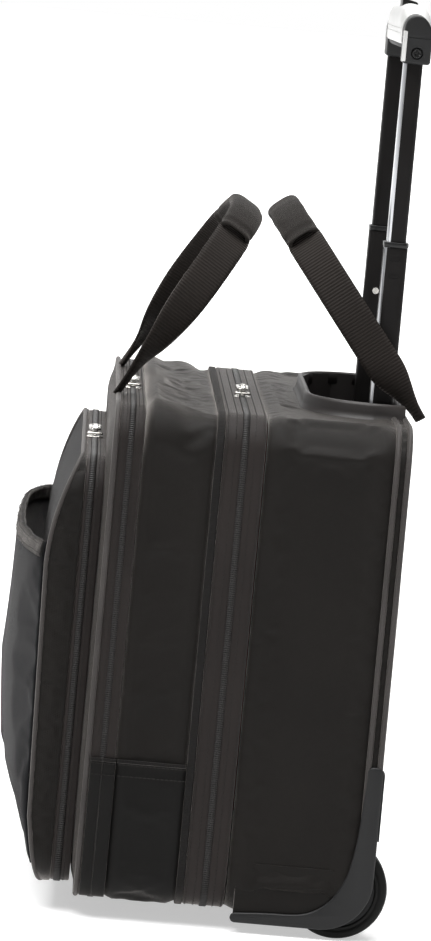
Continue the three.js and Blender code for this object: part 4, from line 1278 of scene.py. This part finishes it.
def slider_pieces(name, place):
    """The slider's body with its two wings and crown, and its pull, along x with the tape below."""
    nose = np.array([(-8, -3.2), (-6.4, -4.6), (0, -5.0), (4, -6.2), (7.2, -6.4), (8, -5.2)])
    wing = np.concatenate([nose, nose[::-1] * (1, -1)])
    plates = [prism("lower", wing, "z", GAP, 1.5, "nickel"),
              prism("upper", wing * 0.94, "z", 2.7, 4.3, "nickel"),
              block("post", (2.5, -1.6, 1.0), (7.5, 1.6, 3.0), 1.2, "nickel")]
    for plate in plates:
        bevelled(plate, 0.45)
    arch = np.linspace(0, math.pi, 15)
    path = np.stack([5.2 * np.cos(arch), 0 * arch, 4.0 + 5.6 * np.sin(arch) ** 0.75], 1)
    _, up, across = frames_along(path, path - np.array([0, 0, 4.5]))
    ring = rounded_loop(-1.9, -0.75, 1.9, 0.75, 0.6, 3)
    crown = capped_sweep("crown", swept(path, across, up, ring), "nickel")
    body = joined_objects(f"{name}_slider_body", [*plates, crown])
    hung = 6.2  # the height of the pull
    angles = turns(10)
    wire = np.stack([0.85 * np.cos(angles), 0.85 * np.sin(angles)], 1)
    link = closed_sweep("link", at_level(rounded_loop(-1.2, -3.6, 9.5, 3.6, 3.0, 4), hung), wire, "nickel")
    edge = np.array([(7.5, -2.6), (10, -4.4), (24, -4.9), (29, -3.6)])
    edge = np.concatenate([edge, [(30, 0)], edge[::-1] * (1, -1)])
    tab = prism("tab", edge, "z", hung - 0.9, hung + 0.9, "nickel")
    cut(tab, block("hole", (17.5, -2.6, hung - 3), (26.5, 2.6, hung + 3), 1.6, "nickel"),
        block("eye", (8.7, -1.6, hung - 3), (12.0, 1.6, hung + 3), 1.2, "nickel"))
    bevelled(tab, 0.35)
    pull = joined_objects(f"{name}_pull_tab", [link, tab])
    pull.data.transform(Matrix.Diagonal((-1, 1, 1, 1)))
    pull.data.flip_normals()
    for piece in (body, pull):
        piece.data.transform(place)
    return body, pull


def build_sliders():
    for name, body, on in (("main_zip", "main", TOP), ("second_zip", "second", TOP),
                           ("organizer_zip", "organizer", organizer_high[2])):
        x, y, _ = centre(f"{name}_slider")
        place = Matrix.Translation(Vector((x, y, on)) * MM)
        slider, pull = slider_pieces(name, place)
        finish_piece(slider, f"{body}_slider", [f"{name}_slider"])
        finish_piece(pull, f"{body}_pull", [f"{name}_pull"])


# ---------------------------------------------------------------- trolley
def tube_piece(name, node, r, wall, body, bright, crimps=()):
    """A drawn black tube, with a painted highlight: the faces along the rounded edge at its outer front
    corner take the bright alloy look.
    """
    low, high = box(node)
    middle = centre(node)[:2]
    outside = rounded_loop(low[0], low[1], high[0], high[1], r, 8)
    inside = rounded_loop(low[0] + wall, low[1] + wall, high[0] - wall, high[1] - wall, r - wall, 8)
    rows = [at_level(middle + (outside - middle) * shrink, level)
            for level, shrink in ((low[2], 0.985), (low[2] + 0.4, 1), (high[2] - 0.4, 1), (high[2], 0.985))]
    rows += [at_level(inside, level) for level in (high[2], low[2])]
    made = grid_object(name, np.stack(rows, 1), ["tube_black", "alloy"])
    normals = np.array([polygon.normal[:] for polygon in made.data.polygons])
    centres = np.array([polygon.center[:] for polygon in made.data.polygons]) / MM
    # Forward-facing faces at the outer front corner take the alloy look, as a painted highlight along that
    # edge; bright sets how far round it reaches.
    outer = np.sign(middle[0]) * (centres[:, 0] - middle[0]) > 0
    front = (normals[:, 1] < -bright) & (centres[:, 1] < low[1] + r) & outer
    made.data.polygons.foreach_set("material_index", front.astype(np.int32))
    made.data.set_sharp_from_angle(angle=math.radians(50))
    x, y = (high[0] if middle[0] > 0 else low[0]), middle[1]
    cut(made, *[block("crimp", (x - 0.45, y - 4, z - 1.8), (x + 3, y + 4, z + 1.8), 1.5, "tube_black", "x")
                for z in crimps])
    finish_piece(made, body, [node])


def socket(node, top, look):
    """A hole that takes a trolley tube, with the gap round it."""
    low, high = box(node)
    return block("socket", low - (GAP, GAP, 0), high + (GAP, GAP, top), 4.2, look)


def build_trolley():
    for name, _ in SIDES:
        rivet_z = centre(f"stop_rivet_{name}")[2]
        # The 0.55 and 0.3 below set how far round each pole's painted highlight reaches.
        tube_piece(f"middle_pole_{name}", f"middle_tube_{name}", 4.5, 1.1, "middle_stage", 0.55,
                   (rivet_z + 26, rivet_z + 39))
        inner = f"inner_tube_{name}"
        tube_piece(f"inner_pole_{name}", inner, 4.0, 1.1, "grip_stage", 0.3)
        low, high = box(f"middle_collar_{name}")
        collar = block(f"pole_collar_{name}", low + (0.5, 0.5, 0), high - (0.5, 0.5, 0), 4.8, "black")
        cut(bevelled(collar, 0.4), socket(inner, 0, "black"))
        finish_piece(collar, "middle_stage", [f"middle_collar_{name}"])
    build_grip()
    build_tray()


def grip_outline(low_z, top_z, y0, y1):
    """The grip seen from its end: upright front and back under a rounded top."""
    middle, half = (y0 + y1) / 2, (y1 - y0) / 2
    shoulder = top_z - 15
    angles = np.linspace(0, math.pi, 21)
    domed = (top_z - shoulder) * np.sin(angles) ** 0.9
    top = np.stack([middle + half * np.cos(angles) - 1.5 * np.sin(angles), shoulder + domed], 1)
    back, front = [(y1 - 1.0, low_z), (y1, low_z + 1.5)], [(y0, low_z + 1.5), (y0 + 1.0, low_z)]
    return np.concatenate([back, top, front])


PARTING = (661.0, 661.7)  # the heights of the fine groove round each of the grip's ends


def parting_grooves(outer, side, y0, y1):
    """The fine groove where the cap's two mouldings meet, across its end and its front and back."""
    z0, z1 = PARTING
    near, far = sorted((outer, outer - side * 0.6))
    end = block("groove", (near, y0 - 1, z0), (far + 0.1, y1 + 1, z1), 0.1, "plastic", "x")
    a, b = sorted((outer + side, outer - side * 40))
    front = block("groove", (a, y0 - 1, z0), (b, y0 + 0.6, z1), 0.1, "plastic", "x")
    back = block("groove", (a, y1 - 0.6, z0), (b, y1 + 1, z1), 0.1, "plastic", "x")
    return end, front, back


def grip_screw(name, outer, side):
    middle = centre(f"grip_screw_{name}")[1:]
    ends = sorted((outer - side * 3.0, outer - side * 1.2))
    screw = bevelled(cylinder(f"grip_screw_head_{name}", 3.9, ends, middle, "black", 24), 0.5)
    x0, x1 = sorted((outer, outer - side * 2.0))
    for a, b in ((0.55, 2.6), (2.6, 0.55)):
        low, high = (x0 - 0.5, *(middle - (a, b))), (x1, *(middle + (a, b)))
        cut(screw, block("slot", low, high, 0.3, "black", "x"))
    finish_piece(screw, "grip_stage", [f"grip_screw_{name}"])


def build_grip():
    cap_low, cap_high = box("grip_cap_right")
    y0, y1 = cap_low[1], cap_high[1]
    end = grip_outline(cap_low[2], cap_high[2], y0, y1)
    for name, side in SIDES:
        outer = side * cap_high[0]
        cap = prism(f"grip_end_{name}", end, "x", *between(side, cap_low[0], cap_high[0]), "plastic")
        bevelled(cap, 3.2, 5)
        recess = sorted((outer - side * 3.4, outer + side * 2))
        recess = cylinder("recess", 4.6, recess, centre(f"grip_screw_{name}")[1:], "plastic")
        cut(cap, recess, *parting_grooves(outer, side, y0, y1))
        cut(cap, socket(f"inner_tube_{name}", GAP, "plastic"))
        finish_piece(cap, "grip_stage", [f"grip_cap_{name}"])
        grip_screw(name, outer, side)
    build_grip_shell(cap_low, cap_high)
    under_low, under_high = box("grip_underside")
    under = block("grip_pad", under_low, under_high, 3, "soft_grip", "x")
    bevelled(under, 1.0)
    finish_piece(under, "grip_stage", ["grip_underside"])
    low, high = box("release_button")
    edge = np.array([(low[1], low[2]), (high[1], low[2]), (high[1], high[2] - 4.2),
                     (high[1] - 1.2, high[2] - 3.2), (low[1] + 2.0, high[2] - 1.0),
                     (low[1], high[2] - 2.0)])
    button = prism("release_push_button", edge[::-1], "x", low[0], high[0], "black")
    bevelled(button, 0.9, 3, 30)
    finish_piece(button, "release", ["release_button"])


def build_grip_shell(cap_low, cap_high):
    """The silver cover: an arched top between the caps, whose front lip runs on down before them."""
    low, high = box("grip_shell")
    rows = []
    for x in np.linspace(low[0], high[0], 41):
        bow = 1 - (x / high[0]) ** 2
        top = cap_high[2] + 0.8 + (high[2] - cap_high[2] - 0.8) * smoothstep(bow, 0, 0.45)
        narrow = 1.0 * (1 - smoothstep(bow, 0, 0.2))
        outer = grip_outline(low[2], top, low[1] + narrow, high[1] - narrow)
        inner = grip_outline(low[2], top - 2.4, low[1] + 2.4, high[1] - 2.4)
        ring = np.concatenate([outer, inner[::-1]])
        rows.append(at_level(ring, x)[:, [2, 0, 1]])
    cover = capped_sweep("cover", np.stack(rows), "silver")
    button_low, button_high = box("release_button")
    cut(cover, block("window", button_low - (0.6, 0.6, 0), button_high + (0.6, 0.6, 20), 5, "silver"))
    # Two grooves run along the front, above a finely ribbed grip field.
    for z in (663.5, 667.0):
        start, end = (low[0] + 4, low[1] - 2, z), (high[0] - 4, low[1] + 0.5, z + 0.8)
        cut(cover, block("groove", start, end, 0.2, "silver", "x"))
    lips = []
    for side in (-1, 1):
        x0, x1 = between(side, cap_high[0] - 3, cap_high[0] + 0.25)
        start, end = (x0, cap_low[1] - 0.7, cap_low[2] + 1.5), (x1, cap_low[1] + 2.4, cap_high[2] - 12)
        lips.append(bevelled(block("lip", start, end, 0.8, "silver", "x"), 0.5))
    shell = joined_objects("grip_cover", [cover, *lips])
    shaded_smooth(shell, 40)
    finish_piece(shell, "grip_stage", ["grip_shell"])


def build_tray():
    """The moulded well that the trolley stows into, with a rolled rim that sits on the fabric."""
    high = box("trolley_tray")[1]
    # Each is (distance out, height over the tray's top).
    profile = [(2.6, -13.5), (5.2, -13.0), (5.6, -12.0), (2.8, -10.2), (1.3, -6.0), (1.2, -1.0), (0.2, 0.9),
               (-1.3, 1.3), (-2.8, 0.7), (-3.4, -0.8), (-3.4, -8), (0.1, -8), (0.1, -13.5)]
    middle = np.array([0.0, high[1] - 30])
    base = tray_loop(0.0, 40)
    edge = np.roll(base, -1, 0) - np.roll(base, 1, 0)
    out = np.stack([edge[:, 1], -edge[:, 0]], 1)
    out /= np.linalg.norm(out, axis=1, keepdims=True)
    if ((base - middle) * out).sum() < 0:
        out = -out
    points = np.stack([at_level(base + out * away, high[2] + z) for away, z in profile], 1)
    points[..., 1] = np.minimum(points[..., 1], BACK_Y + 1.0)
    rim = grid_object("tray_rim", points, ["tray"])
    finish_piece(rim, "case")


# ---------------------------------------------------------------- wheels, guards and feet
def guard_loop():
    """The corner guard: up the back edge, round the wheel and forward under the case, as (y, z)."""
    low, high = box("wheel_housing_right")
    curve, rear, bottom, top, front = MOULDED_CURVE, high[1] - 1.6, low[2], high[2], low[1]
    points = arc(rear - curve, bottom + curve, curve, -90, 0, 22)
    points += arc(rear - 5, top - 6, 5, 0, 90, 8) + arc(rear - 7, top - 6, 5, 90, 170, 8)
    inner = np.array([(rear - 11.8, top - 12), (rear - 14, 85), (rear - 17, 62), (rear - 22, 44),
                      (rear - 33, 27.5), (rear - 50, 18.2), (rear - 78, 16.6)], float)
    points += [tuple(p) for p in spline(inner, 6)]
    points += arc(front + 4.2, bottom + 3.8, 3.8, 100, 260, 10)
    return np.array(points)


def build_wheel_housing(name, side):
    low, high = box("wheel_housing_right")
    middle = centre("tyre_right")[1:]
    guard = prism("guard", guard_loop(), "x", *between(side, HALF + 0.4, high[0]), "plastic")
    bevelled(guard, 2.0, 4, 60)
    # The well that the wheel turns in: a wall on the inner side and a round roof.
    roof = cylinder("roof", WELL_RADIUS, between(side, low[0], HALF - 2.0), middle, "plastic", 48)
    hollow = cylinder("hollow", WELL_RADIUS - 2.5, between(side, low[0] + 2.4, 230), middle, "plastic", 48)
    below = block("below", (-240, 40, -40), (240, 180, low[2]), 0.1, "plastic")
    behind = block("behind", (-240, BACK_Y - 0.5, -40), (240, 200, 160), 0.1, "plastic")
    axle = cylinder("axle_hole", 4.1, between(side, low[0] - 5, 240), middle, "plastic", 20)
    cut(roof, hollow, below, behind, corner_room(side), axle)
    inner, outer = 199, high[0] - 2
    under = block("under", (inner, low[1] + 4, low[2] + 0.3), (outer, 72, BOTTOM - 0.8), 0.8, "plastic", "y")
    rear = block("rear", (inner + 1, BACK_Y + 0.6, 76), (outer, high[1] - 0.3, high[2] - 6), 0.8, "plastic")
    flanges = []
    for flange in (under, rear):
        if side < 0:
            flange.data.transform(Matrix.Diagonal((-1, 1, 1, 1)))
            flange.data.flip_normals()
        flanges.append(bevelled(flange, 0.6))
    housing = joined_objects(f"corner_guard_{name}", [guard, roof, *flanges])
    finish_piece(housing, "case", [f"wheel_housing_{name}"])


def lathed(name, side, profile, look, sides=72):
    """A closed profile of (offset along X, radius) turned about the wheel's axle."""
    middle = centre("tyre_right" if side > 0 else "tyre_left")
    offset, radius = np.array(profile, float).T[:, None]
    angles = turns(sides)[:, None]
    points = np.stack([middle[0] + side * offset + 0 * angles,
                       middle[1] + radius * np.cos(angles),
                       middle[2] + radius * np.sin(angles)], -1)
    return grid_object(name, points, [look])


def build_wheel(name, side):
    tread = [(-6.8, 36.7), (-9.2, 35.6), (-10, 33.4), (-10, 27.6), (10, 27.6), (10, 29.2), (9.3, 29.9),
             (9.3, 30.6), (10, 31.3), (10, 33.4), (9.2, 35.6), (6.8, 36.7), (3.6, 36.75), (3.0, 36.0),
             (-3.0, 36.0), (-3.6, 36.75)]
    tyre = lathed(f"wheel_tyre_{name}", side, tread, "rubber", 96)
    finish_piece(tyre, f"wheel_{name}", [f"tyre_{name}"])
    dish = [(-9, 27.3), (-9, 24.5), (-3, 22.5), (-3, 14.5), (-8, 13.5), (-8, 11.3), (8, 11.3), (8, 13.5),
            (3.2, 14.8), (3.2, 22.5), (8.6, 24.6), (9.1, 27.3)]
    hub = lathed(f"wheel_disc_{name}", side, dish, "plastic")
    hub.data.set_sharp_from_angle(angle=math.radians(40))
    finish_piece(hub, f"wheel_{name}", [f"wheel_hub_{name}"])


def build_running_gear():
    for name, side in SIDES:
        build_wheel_housing(name, side)
        build_wheel(name, side)
        low, high = box(f"front_foot_{name}")
        flange = block("flange", low + (0, 0, 9), high, 8, "rubber")
        inner, outer = (low[0] + 4, low[1] + 4, low[2]), (high[0] - 4, high[1] - 4, low[2] + 10)
        pad = block("pad", inner, outer, 6, "rubber")
        bevelled(flange, 1.5, 3)
        bevelled(pad, 1.2, 3)
        foot = joined_objects(f"foot_{name}", [flange, pad])
        finish_piece(foot, "case", [f"front_foot_{name}"])


# ---------------------------------------------------------------- inside, and the CAD nodes that stay
def build_inside():
    low, high = box("laptop_sleeve")
    middle = centre("laptop_sleeve")[:2]
    wall = 3.0
    outside = rounded_loop(low[0], low[1], high[0], high[1], 9, 8)
    inside = rounded_loop(low[0] + wall, low[1] + wall, high[0] - wall, high[1] - wall, 6, 8)
    heights = np.linspace(low[2], high[2], 12)
    rows = []
    for k, z in enumerate(heights):
        puff = 1.2 * math.sin(math.pi * k / (len(heights) - 1))
        rows.append(at_level(outside + np.sign(outside - middle) * (0, puff), z))
    rows += [at_level(inside, max(z, low[2] + wall)) for z in heights[::-1]]
    points = np.stack(rows, 1)
    points[..., 1] += noise(points, 45, 71) * 0.6
    pouch = capped_sweep("laptop_pouch", np.swapaxes(points, 0, 1), "grey_lining")
    finish_piece(pouch, "case", ["laptop_sleeve"])
    ring = rounded_loop(-2.4, -5, 2.4, 1.2, 1.1, 3)
    tape = closed_sweep("pouch_binding", at_level(outside, high[2]), ring, "binding")
    finish_piece(tape, "case")


KEPT_NODES = {
    "back_board": "plastic", "base_board": "plastic", "trolley_tray": "tray", "tube_base": "plastic",
    "release_yoke": "steel",
}
KEPT_PAIRS = {
    "axle": "steel", "bearing": "steel", "outer_tube": "alloy", "middle_glide": "black",
    "inner_glide": "black", "stop_rivet": "nickel",
}


def dress_kept_nodes():
    kept = dict(KEPT_NODES)
    for stem, look in KEPT_PAIRS.items():
        kept.update({f"{stem}_{name}": look for name, _ in SIDES})
    for node, look in kept.items():
        obj = frame["nodes"][node]
        obj.data.materials.clear()
        obj.data.materials.append(LOOKS[look])
        shaded_smooth(obj, 35)


build_rear_compartment()
build_aprons()
build_main_zip()
build_second_compartment()
build_second_zip()
build_second_lid()
build_organizer()
build_slip_pocket()
build_back_pocket()
build_handles()
build_sliders()
build_trolley()
build_running_gear()
build_inside()
dress_kept_nodes()
